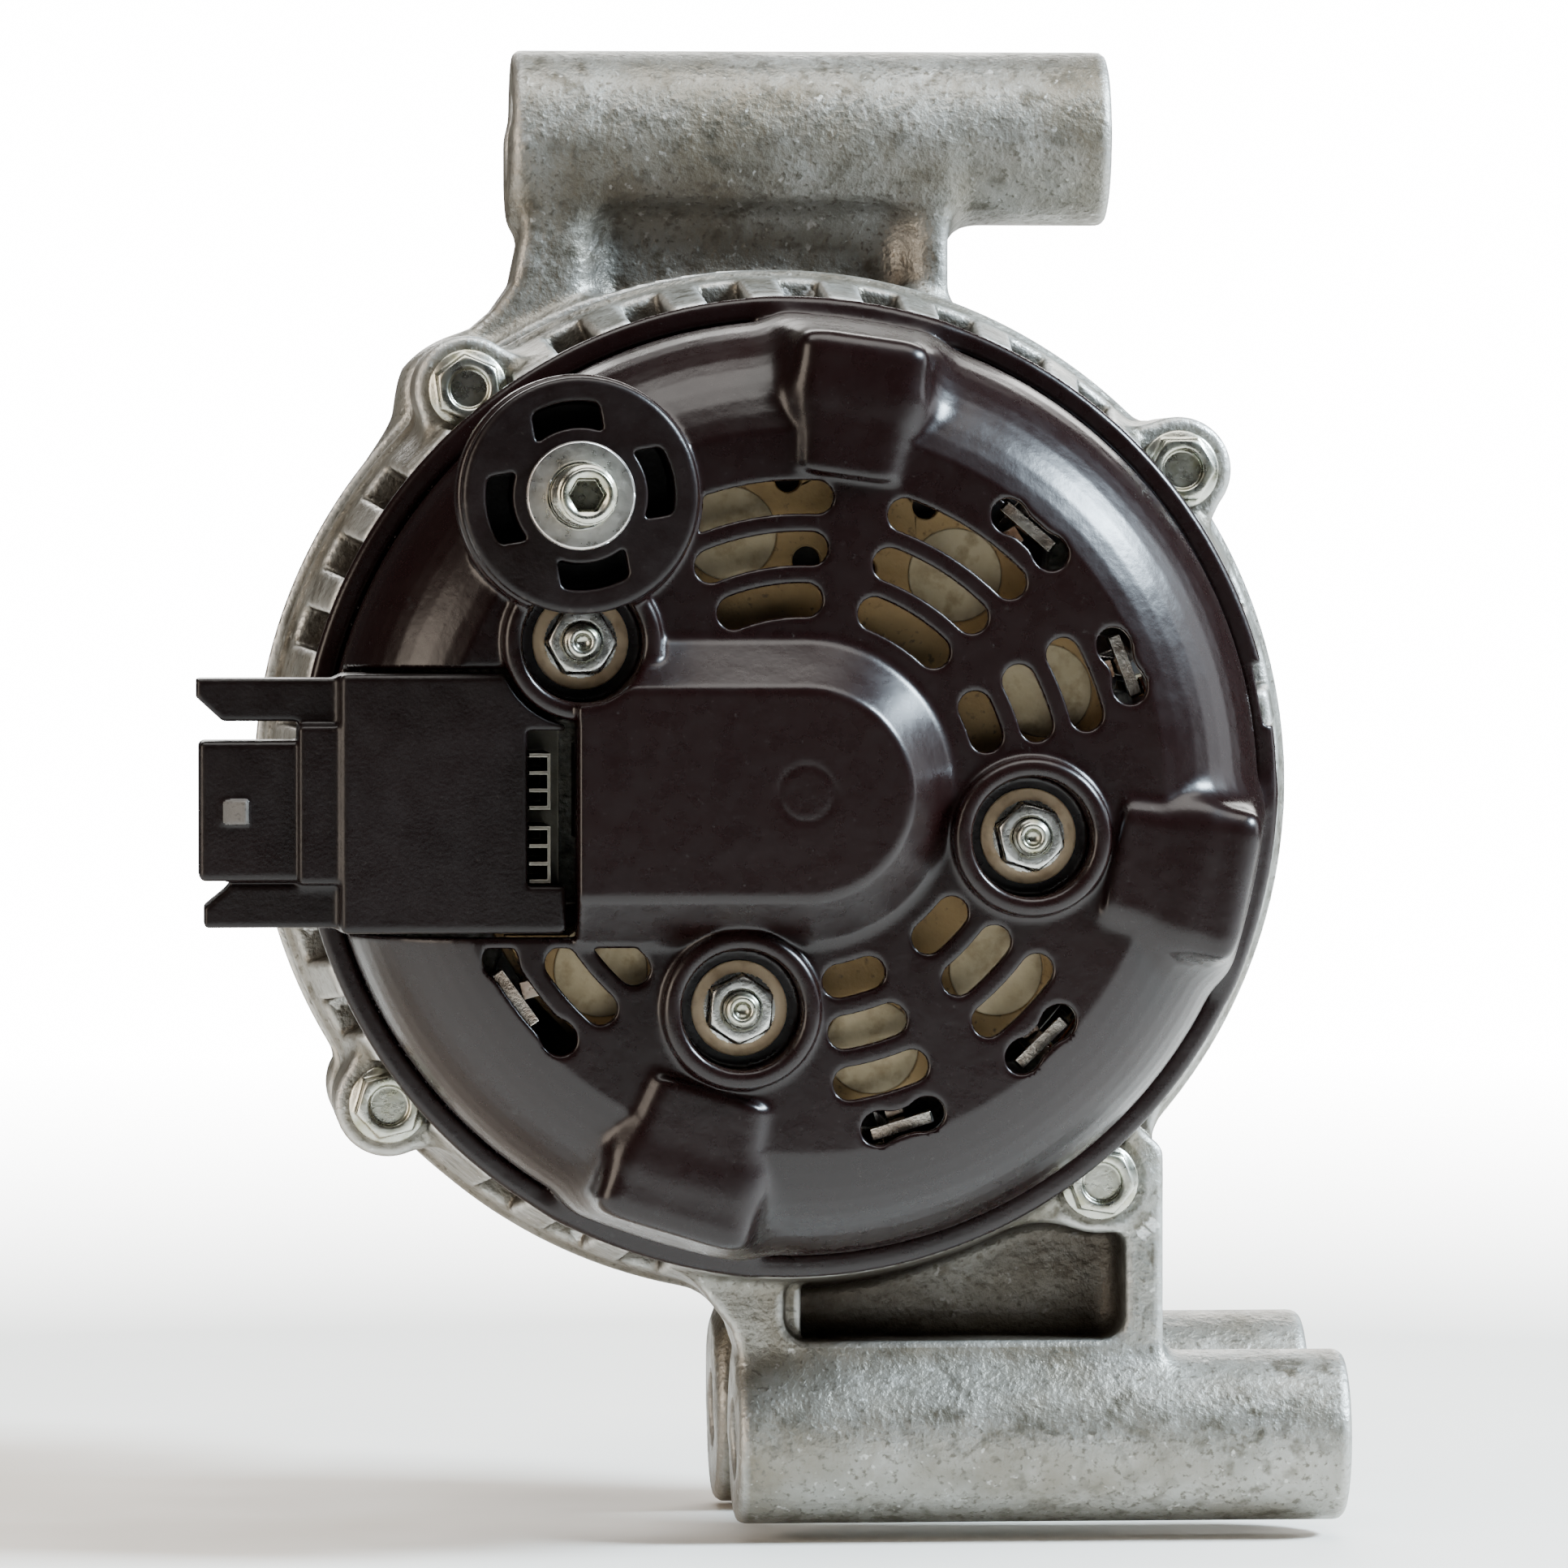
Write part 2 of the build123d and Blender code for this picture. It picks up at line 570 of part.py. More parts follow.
def negative_heat_sink():
    outline = plate_outline(PLATE_OUT + 1.0)
    outline -= [Pos(x, z) * Circle(2.7) for x, z in STUDS]
    outline -= [Pos(*polar(DIODE_RING, a)) * Circle(DIODE_R) for a in DIODE_ANGLES]
    return slab(outline, *NEGATIVE)


def diodes(plate, cap_end, lead_end):
    """Press-fit button diodes with one lead each."""
    buttons = []
    face = plate[1] if cap_end > plate[1] else plate[0]
    for angle in DIODE_ANGLES:
        x, z = polar(DIODE_RING, angle)
        body = disc(DIODE_R, *plate, x, z)
        body += disc(4.2, *sorted((face, cap_end)), x, z)
        buttons.append(body + disc(0.65, *sorted((cap_end, lead_end)), x, z))
    return group(buttons)


def terminal_plate():
    """Moulded bridge between the plates, with a tube round each cover stud."""
    outline = Circle(42.5) - Circle(24)
    outline -= Pos(-43, -1.3) * Rectangle(60, 36.4)
    outline -= [Pos(*polar(DIODE_RING, a)) * Circle(DIODE_R + 0.8) for a in DIODE_ANGLES]
    outline -= [Pos(x, z) * Circle(6.0) for x, z in STUDS]
    body = slab(outline, BUS[1], BUS[1] + 2.4)
    for x, z in STUDS:
        body += ring(2.7, 6.0, POSITIVE[1], NEGATIVE[0], x, z)
    away = disc(8.6, -13, -9, *POST)
    return body - away


def rectifier_bushes():
    """Top-hat washers that insulate the positive plate from the studs."""
    bushes = []
    for x, z in STUDS:
        sleeve = ring(2.7, 4.4, *POSITIVE, x, z)
        bushes.append(sleeve + ring(2.7, 6.5, WELL_FLOOR + 2, POSITIVE[0], x, z))
    return group(bushes)


def bus_bars():
    """Copper strips from each stator lead to a pair of diode leads."""
    strips = []
    for lead, diode in zip(LEAD_ANGLES, DIODE_ANGLES):
        x0, z0 = polar(DIODE_RING, diode)
        x1, z1 = polar(LEAD_RING - 1.1, lead)
        angle = math.degrees(math.atan2(z1 - z0, x1 - x0))
        length = math.hypot(x1 - x0, z1 - z0)
        strip = Pos((x0 + x1) / 2, (z0 + z1) / 2) * Rotation(0, 0, angle) * Rectangle(length, 2.4)
        strip += Pos(x0, z0) * Circle(2.0)
        strip -= Pos(x0, z0) * Circle(0.7)
        strips.append(slab(strip, *BUS))
    return group(strips)


def stator_leads():
    """Winding ends that rise past the rear wall to the rectifier."""
    lead = block(LEAD_RING - 0.8, LEAD_RING + 0.8, -16.5, 10, -1.3, 1.3)
    lead += block(LEAD_RING - 0.8, 51.5, 8.4, 10, -1.3, 1.3)
    lead += block(LEAD_RING - 0.8, LEAD_RING + 0.8, -18.7, -16.5, -4.4, 4.4)
    return group([turn(a) * lead for a in LEAD_ANGLES])


# ---------------------------------------------------------------- battery terminal
def battery_stud():
    """M8 stud with its head under the positive plate and a socket in its tip."""
    x, z = POST
    stud = disc(POST_STUD_R, POST_TIP + 0.8, POST_FACE - POST_WASHER, x, z)
    stud += disc(POST_STUD_R - 0.7, POST_TIP, POST_TIP + 0.8, x, z)
    stud += disc(POST_SHANK_R, POST_FACE - POST_WASHER, POSITIVE[1], x, z)
    stud += hexagon(13, POSITIVE[1], POSITIVE[1] + 3.5, x, z)
    return stud - hexagon(4.2, POST_TIP - 1, POST_TIP + 3, x, z)


def battery_stud_sleeve():
    return ring(POST_STUD_R + GAP, 6.0, POST_FACE, POSITIVE[0], *POST)


def battery_stud_washer():
    washer = ring(POST_STUD_R + 0.2, 7.15, POST_FACE - POST_WASHER, POST_FACE, *POST)
    return chamfer(near_depth(washer, POST_FACE - POST_WASHER), 0.25)


def battery_stud_insulator():
    """Round moulded collar with four arc slots under the battery cable."""
    flange = disc(POST_DISC_R, POST_FACE, POST_FACE + 3.2)
    flange = fillet(near_depth(flange, POST_FACE), 0.8)
    slots = [SlotArc(CenterArc((0, 0), 10.5, 90 * k + 10 - 20, 40), 3.2) for k in range(4)]
    flange -= slab(Sketch() + slots, POST_FACE - 1, POST_FACE + 4)
    hub = disc(8.7, POST_FACE + 2, POSITIVE[0])
    neck = ring(12.3, 13.9, POST_FACE + 2, GRILLE + 2)
    floor = ring(8.0, 13.0, GRILLE + 0.5, GRILLE + 2)
    body = flange + hub + neck + floor - disc(6.05, POST_FACE - 1, POSITIVE[0] + 1)
    return Pos(POST[0], 0, POST[1]) * body


# ---------------------------------------------------------------- rear cover
def bell(edge, shoulder, foot, face, closing):
    """Solid bell: flat face, one round shoulder, then the closing points."""
    top = y_at(face)
    outline = [
        Line((0, top), (edge, top)),
        ThreePointArc((edge, top), (shoulder[0], y_at(shoulder[1])), (foot[0], y_at(foot[1]))),
        Polyline((foot[0], y_at(foot[1])), *[(r, y_at(d)) for r, d in closing], (0, top)),
    ]
    edges = []
    for piece in outline:
        edges.extend(piece.edges())
    return revolve(make_face(edges), Axis.Y, 360)


def lobe(size, shrink, foot, soft):
    """Box-shaped bulge on the shoulder, wider at its outer end."""
    start, end = size["start"] + shrink, LOBE_OUT - shrink
    inner, outer = size["inner"] - shrink, size["outer"] - shrink
    outline = polygon((start, -inner), (end, -outer), (end, outer), (start, inner))
    top = LOBE_TOP + shrink
    body = slab(outline, top, foot)
    rims = [e for e in body.edges() if e.bounding_box().min.Y < y_at(top) + 0.1]
    return turn(size["angle"]) * fillet(rims, soft)


def dome_form(base, top_r, start, end, left):
    """Round-ended dome: frustum on the shaft axis plus a straight run to the left."""
    cone = turned([(0, start), (base, start), (top_r, end), (0, end)])
    section = polygon((y_at(start), -base), (y_at(start), base), (y_at(end), top_r),
                      (y_at(end), -top_r))
    run = extrude(Plane.YZ.offset(left) * section, -left)
    return cone + run


def rear_cover():
    """Moulded cover with grille, shaft dome, nut wells and shoulder bulges."""
    cover = bell(GRILLE_EDGE, (57.8, -18.2), (62.1, 0.4), GRILLE,
                 [(62.9, 0.4), (62.9, -0.8), (63.3, -1.2), (65.4, -1.2), (COVER_R, -0.6),
                  (COVER_R, COVER_SKIRT), (0, COVER_SKIRT)])
    cover += [lobe(size, 0, -3, 1.6) for size in LOBES]
    cover += dome_form(DOME_BASE_R, DOME_TOP_R, GRILLE + 0.5, DOME_TOP, DOME_LEFT)
    cover -= bell(GRILLE_EDGE - 1.2, (56.0, -16.8), (59.9, 0.4), GRILLE + COVER_WALL,
                  [(59.9, 4), (0, 4)])
    cover -= [lobe(size, COVER_WALL, 1, 0.8) for size in LOBES]
    for x, z in STUDS:
        cover += ring(WELL_R - 0.2, WELL_RIM_R, WELL_RIM, WELL_FLOOR + 2, x, z)
    cover += ring(13, 16, GRILLE - 5, GRILLE + 3, *POST)
    inner = dome_form(DOME_BASE_R - 1.8, DOME_TOP_R - 1.4, GRILLE + 3.2, DOME_TOP + 2, DOME_LEFT + 2)
    cuts = [inner]
    wells = []
    for x, z in STUDS:
        cuts.append(disc(WELL_R, -40, WELL_FLOOR, x, z))
        wells.append(ring(STUD_R + 0.25, WELL_R + 1.2, WELL_FLOOR, WELL_FLOOR + 2, x, z))
    slots = []
    for radius in SLOT_RINGS:
        for first, last in SLOT_SECTORS:
            trim = math.degrees(SLOT_WIDTH / 2 / radius)
            arc = CenterArc((0, 0), radius, first + trim, last - first - 2 * trim)
            slots.append(SlotArc(arc, SLOT_WIDTH))
    for first, last in LEAD_WINDOWS:
        slots.append(SlotArc(CenterArc((0, 0), LEAD_WINDOW_RING, first + 2, last - first - 4), 3.8))
    grille = slab(Sketch() + slots, GRILLE - 1, GRILLE + 3)
    for x, z in STUDS:
        grille -= disc(WELL_RIM_R, GRILLE - 2, GRILLE + 4, x, z)
    grille -= disc(16.8, GRILLE - 2, GRILLE + 4, *POST)
    cuts.append(grille)
    cuts.append(disc(14.2, -45, 0, *POST))
    bay = block(-75, DOME_LEFT - 0.01, -45, -7.4, BLOCK_Z[0] - 0.6, BLOCK_Z[1] + 0.6)
    for x, z in STUDS[:1]:
        bay -= disc(WELL_RIM_R, -46, 0, x, z)
    cuts.append(bay)
    cuts.append(turn(11) * block(64.6, 68, -2, 4, -4.2, 4.2))
    cover -= cuts
    return cover + wells


def cover_nuts():
    nuts = []
    for x, z in STUDS:
        nut = disc(6.4, WELL_FLOOR - 1.1, WELL_FLOOR, x, z)
        nut += hexagon(8, WELL_FLOOR - 5.2, WELL_FLOOR - 1.1, x, z)
        nuts.append(nut - disc(STUD_R + 0.02, WELL_FLOOR - 6, WELL_FLOOR + 1, x, z))
    return group(nuts)


def cover_studs():
    studs = []
    for x, z in STUDS:
        stud = disc(STUD_R, WELL_FLOOR - 7.4, 4, x, z)
        studs.append(chamfer(near_depth(stud, WELL_FLOOR - 7.4), 0.6) - disc(1.0, -29, -27.9, x, z))
    return group(studs)


# ---------------------------------------------------------------- regulator
def pin_blanks(tip):
    """Four flat blades in a row, from the socket into the block."""
    half = PIN_HALF_W
    return [block(tip, -60, *PIN_DEPTH, z - half, z + half) for z in PIN_HEIGHTS]


def regulator():
    """Moulded regulator block with connector socket and two guard fins."""
    body = block(*BLOCK_X, *BLOCK_DEPTH, *BLOCK_Z)
    body = fillet(near_depth(body, BLOCK_DEPTH[0]), 0.8)
    body += block(NECK_X, BLOCK_X[0] + 1, -27.2, -10.5, -11.9, 9.0)
    body += block(SOCKET_X, NECK_X + 0.5, *SOCKET_DEPTH, *SOCKET_Z)
    upper = slab(polygon((-79.8, 15.1), (-79.8, 12.6), (-76.4, 9.5), (-60, 9.5), (-60, 15.1)),
                 -24, -12)
    lower = slab(polygon((-78.8, -17.7), (-78.8, -15.0), (-75.4, -12.2), (-60, -12.2),
                         (-60, -17.7)), -24, -12)
    ramp = slab(polygon((-77, -4.0), (-77, -0.8), (-73, -0.8), (-73, -4.0)), -27.2, -25.9)
    ramp = chamfer(ramp.edges().group_by(Axis.X)[0].sort_by(Axis.Y)[0], 1.0)
    body += [upper, lower, ramp]
    window = block(WINDOW_X, -25, -40, 0, *WINDOW_Z)
    socket = block(SOCKET_X - 1, NECK_X - 2, SOCKET_DEPTH[0] + SOCKET_WALL,
                   SOCKET_DEPTH[1] - SOCKET_WALL, SOCKET_Z[0] + SOCKET_WALL,
                   SOCKET_Z[1] - SOCKET_WALL)
    groove = block(SOCKET_X - 1, NECK_X, SOCKET_DEPTH[0] - 1, SOCKET_DEPTH[0] + 0.7, 4.6, 5.4)
    stud_room = disc(WELL_RIM_R + 0.6, -40, 0, *STUDS[0])
    return body - [window, socket, groove, stud_room] - pin_blanks(-76)


def connector_pins():
    return group([chamfer(p.edges().group_by(Axis.X)[0], 0.25) for p in pin_blanks(-75.5)])


def regulator_heat_sink():
    """Plate under the block with two folds of thin fins in its window."""
    body = block(-55, -31.4, -8, -3, -17.4, 14)
    half = FIN_WALL / 2
    for low, high in FIN_GROUPS:
        body += block(FIN_X[1] - FIN_WALL, FIN_X[1], -25.5, -8, low - half, high + half)
        for k in range(4):
            z = low + k * (high - low) / 3
            body += block(*FIN_X, -25.5, -8, z - half, z + half)
    body -= disc(WELL_RIM_R + 0.6, -40, 0, *STUDS[0])
    return body - [disc(2.0, -9, -2, x, z) for x, z in REGULATOR_SCREWS]


def regulator_screws():
    return group([disc(SCREW_R - GAP, -7.8, 4, x, z) for x, z in REGULATOR_SCREWS])


# ---------------------------------------------------------------- brushes
def brush(ring_depths):
    middle = sum(ring_depths) / 2
    body = block(BRUSH_TAIL, -5.4, middle - BRUSH_HALF_W, middle + BRUSH_HALF_W,
                 -BRUSH_HALF_H, BRUSH_HALF_H)
    return body - disc(-BRUSH_TIP, middle - 5, middle + 5)


def brush_spring(ring_depths):
    """Compression spring that pushes one brush onto its ring."""
    middle = sum(ring_depths) / 2
    length = BRUSH_TAIL - HOLDER_END - 2 * SPRING_WIRE - 0.1
    path = Helix(pitch=length / SPRING_TURNS, height=length, radius=SPRING_R)
    section = Plane(origin=path @ 0, z_dir=path % 0) * RegularPolygon(SPRING_WIRE, 8)
    coil = sweep(section, path, is_frenet=True)
    return Pos(HOLDER_END + SPRING_WIRE + 0.05, y_at(middle), 0) * Rot(0, 90, 0) * coil


def brush_holder():
    """Moulded holder: two brush channels and a shroud round the slip rings."""
    body = block(-29.6, -9.0, -22.6, -5.5, -6.2, 6.2) + disc(12.0, -22.6, -5.5)
    ear = fillet(polygon((-25, -14), (-25, 14), (-15.5, 14), (-15.5, -14)).vertices(), 3)
    body += slab(ear, -7.8, -5.5)
    cuts = [disc(9.6, -21.9, -5), disc(6.5, -30, -5)]
    for depths in (RING_1, RING_2):
        middle = sum(depths) / 2
        wide, tall = BRUSH_HALF_W + BRUSH_PLAY, BRUSH_HALF_H + BRUSH_PLAY
        cuts.append(block(HOLDER_END, -5, middle - wide, middle + wide, -tall, tall))
    cuts += [disc(2.1, -9, -4, x, z) for x, z in HOLDER_SCREWS]
    return body - cuts


def brush_holder_screws():
    screws = []
    for x, z in HOLDER_SCREWS:
        head = disc(3.2, -10.2, -7.8, x, z) - hexagon(2.4, -10.3, -8.8, x, z)
        screws.append(head + disc(SCREW_R - GAP, -7.8, 3.5, x, z))
    return group(screws)


# ---------------------------------------------------------------- write the nodes
front_outer, front_inner = race_pair(FRONT_BEARING)
rear_outer, rear_inner = race_pair(REAR_BEARING)

NODES = {
    "front_housing": front_housing(),
    "rear_housing": rear_housing(),
    "through_bolts": through_bolts(),
    "stator_core": stator_core(),
    "stator_winding": stator_winding(),
    "slot_liners": slot_liners(),
    "stator_leads": stator_leads(),
    "front_bearing_outer_race": front_outer,
    "front_bearing_inner_race": front_inner,
    "front_bearing_balls": ball_set(FRONT_BEARING),
    "front_bearing_cage": ball_cage(FRONT_BEARING),
    "front_bearing_seals": bearing_seals(),
    "bearing_retainer": bearing_retainer(),
    "retainer_screws": retainer_screws(),
    "rear_bearing_outer_race": rear_outer,
    "rear_bearing_inner_race": rear_inner,
    "rear_bearing_balls": ball_set(REAR_BEARING),
    "rear_bearing_cage": ball_cage(REAR_BEARING),
    "rotor_shaft": rotor_shaft(),
    "rear_claw_pole": claw_pole(STATOR_START, STATOR_END - 1.5, 0),
    "front_claw_pole": claw_pole(STATOR_END, STATOR_START + 1.5, 180 / POLES),
    "coil_bobbin": coil_bobbin(),
    "field_coil": field_coil(),
    "front_fan": fan(STATOR_END, 64.0, 35.0, 13, 8),
    "rear_fan": fan(STATOR_START, 12.0, 26.0, 11, 0),
    "slip_ring_insulator": slip_ring_insulator(),
    "slip_rings": slip_rings(),
    "pulley_spacer": pulley_spacer(),
    "pulley": pulley(),
    "pulley_nut": pulley_nut(),
    "positive_heat_sink": positive_heat_sink(),
    "negative_heat_sink": negative_heat_sink(),
    "positive_diodes": diodes(POSITIVE, POSITIVE[1] + 0.7, BUS[0] + 0.5),
    "negative_diodes": diodes(NEGATIVE, NEGATIVE[0] - 1.2, BUS[1] - 0.5),
    "terminal_plate": terminal_plate(),
    "rectifier_bushes": rectifier_bushes(),
    "bus_bars": bus_bars(),
    "battery_stud": battery_stud(),
    "battery_stud_sleeve": battery_stud_sleeve(),
    "battery_stud_washer": battery_stud_washer(),
    "battery_stud_insulator": battery_stud_insulator(),
    "regulator": regulator(),
    "connector_pins": connector_pins(),
    "regulator_heat_sink": regulator_heat_sink(),
    "regulator_screws": regulator_screws(),
    "brush_holder": brush_holder(),
    "brush_holder_screws": brush_holder_screws(),
    "brush_positive": brush(RING_1),
    "brush_negative": brush(RING_2),
    "brush_spring_positive": brush_spring(RING_1),
    "brush_spring_negative": brush_spring(RING_2),
    "rear_cover": rear_cover(),
    "cover_studs": cover_studs(),
    "cover_nuts": cover_nuts(),
}

os.makedirs("parts", exist_ok=True)
for name, shape in NODES.items():
    export_step(shape, f"parts/{name}.step")
    print(name, len(shape.solids()), round(shape.volume))
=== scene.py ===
import bpy
import json
import math
import numpy as np
from mathutils import Matrix, Vector


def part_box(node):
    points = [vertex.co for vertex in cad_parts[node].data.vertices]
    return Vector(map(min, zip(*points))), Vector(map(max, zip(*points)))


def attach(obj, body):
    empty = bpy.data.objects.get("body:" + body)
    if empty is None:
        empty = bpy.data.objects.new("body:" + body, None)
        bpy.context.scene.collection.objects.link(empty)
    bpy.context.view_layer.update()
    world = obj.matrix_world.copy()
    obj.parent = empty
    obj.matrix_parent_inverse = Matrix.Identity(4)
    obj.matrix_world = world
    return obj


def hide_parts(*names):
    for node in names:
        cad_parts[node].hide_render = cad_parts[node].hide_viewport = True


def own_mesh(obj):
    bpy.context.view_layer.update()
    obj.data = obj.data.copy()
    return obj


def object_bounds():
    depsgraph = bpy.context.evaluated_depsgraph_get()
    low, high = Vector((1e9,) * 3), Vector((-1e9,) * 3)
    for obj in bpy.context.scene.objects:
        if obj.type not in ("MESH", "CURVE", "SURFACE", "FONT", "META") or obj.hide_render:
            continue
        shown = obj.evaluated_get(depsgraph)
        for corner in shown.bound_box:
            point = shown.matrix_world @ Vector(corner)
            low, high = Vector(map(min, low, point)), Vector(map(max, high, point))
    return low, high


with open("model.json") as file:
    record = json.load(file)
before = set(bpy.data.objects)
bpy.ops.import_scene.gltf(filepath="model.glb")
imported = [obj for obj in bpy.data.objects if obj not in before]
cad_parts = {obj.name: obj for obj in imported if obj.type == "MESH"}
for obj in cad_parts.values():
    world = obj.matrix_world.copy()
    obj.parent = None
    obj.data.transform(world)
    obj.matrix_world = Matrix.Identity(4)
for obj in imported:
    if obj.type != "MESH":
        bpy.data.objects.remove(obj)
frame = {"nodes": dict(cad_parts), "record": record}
cad_low, cad_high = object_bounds()
NODES = frame["nodes"]

# Shapes are worked out in millimetres as (x, depth, z).  Depth runs along the
# shaft from the rear face of the rear casting towards the pulley.  The frame's
# origin is in the belt plane, BELT_DEPTH further on.
MM = 0.001
COVER_SKIRT = 3.2                                  # depth of the cover's open edge
BELT_DEPTH = COVER_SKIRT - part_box("rear_cover")[1].y / MM


# ---------------------------------------------------------------- sampled solids
class Grid:
    """Sampling grid in millimetres: X to the right, D depth, Z up."""

    def __init__(self, low, high, step):
        self.step = step
        self.low = np.array(low, float)
        counts = [int(math.ceil((b - a) / step)) + 1 for a, b in zip(low, high)]
        xs, ds, zs = [a + step * np.arange(n) for a, n in zip(low, counts)]
        self.X = xs[:, None, None]
        self.D = ds[None, :, None]
        self.Z = zs[None, None, :]
        self.R = np.hypot(self.X, self.Z)
        self.shape = tuple(counts)


def join(a, b, soft=0.0):
    """Union of two fields, with a fillet where soft is above 0."""
    if np.ndim(soft) == 0 and not soft:
        return np.minimum(a, b)
    h = np.clip(0.5 + 0.5 * (b - a) / soft, 0, 1)
    return b + (a - b) * h - soft * h * (1 - h)


def cut(a, b, soft=0.0):
    return -join(-a, b, soft)


def meet(a, b, soft=0.0):
    return -join(-a, -b, soft)


def outline(u, v, points):
    """Signed distance to a closed outline; negative inside."""
    best = np.full(np.broadcast(u, v).shape, 1e9)
    inside = np.zeros(best.shape, bool)
    for k, (ax, ay) in enumerate(points):
        bx, by = points[(k + 1) % len(points)]
        ex, ey = bx - ax, by - ay
        wx, wy = u - ax, v - ay
        t = np.clip((wx * ex + wy * ey) / (ex * ex + ey * ey), 0, 1)
        best = np.minimum(best, np.hypot(wx - ex * t, wy - ey * t))
        if ey:
            inside ^= ((ay > v) != (by > v)) & (u < ex * (v - ay) / ey + ax)
    return np.where(inside, -best, best)


def rounded(flat, side, edge):
    """Solid bounded by two fields, with its edge rounded to that radius."""
    flat = flat + edge
    side = side + edge
    inner = np.minimum(np.maximum(flat, side), 0)
    return inner + np.hypot(np.maximum(flat, 0), np.maximum(side, 0)) - edge


def slab(g, flat, start, end, edge=0.4):
    """A flat field in X and Z carried between two depths."""
    return rounded(flat, np.abs(g.D - (start + end) / 2) - (end - start) / 2, edge)


def disc(g, radius, start, end, x=0.0, z=0.0, edge=0.4):
    return slab(g, np.hypot(g.X - x, g.Z - z) - radius, start, end, edge)


def bar(g, radius, x0, x1, depth, z, edge=0.4):
    """Round bar along X."""
    side = np.abs(g.X - (x0 + x1) / 2) - (x1 - x0) / 2
    return rounded(np.hypot(g.D - depth, g.Z - z) - radius, side, edge)


def brick(g, x, depth, z, edge=0.4):
    """Box between pairs of x, depth and z, with rounded edges."""
    q = []
    for axis, (low, high) in ((g.X, x), (g.D, depth), (g.Z, z)):
        q.append(np.abs(axis - (low + high) / 2) - (high - low) / 2 + edge)
    inner = np.minimum(np.maximum(np.maximum(q[0], q[1]), q[2]), 0)
    outer = np.sqrt(sum(np.maximum(k, 0) ** 2 for k in q))
    return inner + outer - edge


def revolved(g, points):
    """Solid of revolution about the shaft from a (radius, depth) outline."""
    pitch = 0.2
    radii = np.arange(0, g.R.max() + 2 * pitch, pitch)
    table = outline(radii[:, None], g.D[0, :, 0][None, :], points)
    place = g.R[:, 0, :] / pitch
    base = place.astype(int)
    part = (place - base)[..., None]
    return np.moveaxis(table[base] * (1 - part) + table[base + 1] * part, 2, 1)


def arc_slot(g, radius, first, last, width):
    """Flat field of a round-ended slot along an arc about the shaft."""
    half = width / 2
    trim = math.degrees(half / radius)
    middle = math.radians((first + last) / 2)
    span = math.radians((last - first) / 2 - trim)
    turned = np.arctan2(g.Z, g.X) - middle
    turned = (turned + math.pi) % (2 * math.pi) - math.pi
    held = np.clip(turned, -span, span) + middle
    return np.hypot(g.X - radius * np.cos(held), g.Z - radius * np.sin(held)) - half


def turned_about(g, angle, x=0.0, z=0.0):
    """X and Z as seen from a frame turned by an angle about a point."""
    c, s = math.cos(math.radians(angle)), math.sin(math.radians(angle))
    return c * (g.X - x) + s * (g.Z - z), -s * (g.X - x) + c * (g.Z - z)


def polar(radius, angle):
    return radius * math.cos(math.radians(angle)), radius * math.sin(math.radians(angle))


def arc_points(start, through, end, count):
    """Points of the circular arc through three (radius, depth) points."""
    (ax, ay), (bx, by), (cx, cy) = start, through, end
    d = 2 * (ax * (by - cy) + bx * (cy - ay) + cx * (ay - by))
    sa, sb, sc = ax * ax + ay * ay, bx * bx + by * by, cx * cx + cy * cy
    ux = (sa * (by - cy) + sb * (cy - ay) + sc * (ay - by)) / d
    uy = (sa * (cx - bx) + sb * (ax - cx) + sc * (bx - ax)) / d
    radius = math.hypot(ax - ux, ay - uy)
    a0 = math.atan2(ay - uy, ax - ux)
    a1 = math.atan2(cy - uy, cx - ux)
    turns = [a0 + (a1 - a0) * k / (count - 1) for k in range(count)]
    return [(ux + radius * math.cos(a), uy + radius * math.sin(a)) for a in turns]


CORNERS = [(i, j, k) for i in (0, 1) for j in (0, 1) for k in (0, 1)]
CELL_EDGES = [(a, b) for a in CORNERS for b in CORNERS
              if sum(abs(p - q) for p, q in zip(a, b)) == 1 and a < b]


def sample(field, places):
    """Trilinear value of a field at fractional grid places."""
    base = np.clip(places.astype(int), 0, np.array(field.shape) - 2)
    part = places - base
    total = np.zeros(len(places))
    for corner in CORNERS:
        weight = np.ones(len(places))
        for axis in range(3):
            weight *= part[:, axis] if corner[axis] else 1 - part[:, axis]
        at = base + np.array(corner)
        total += weight * field[at[:, 0], at[:, 1], at[:, 2]]
    return total


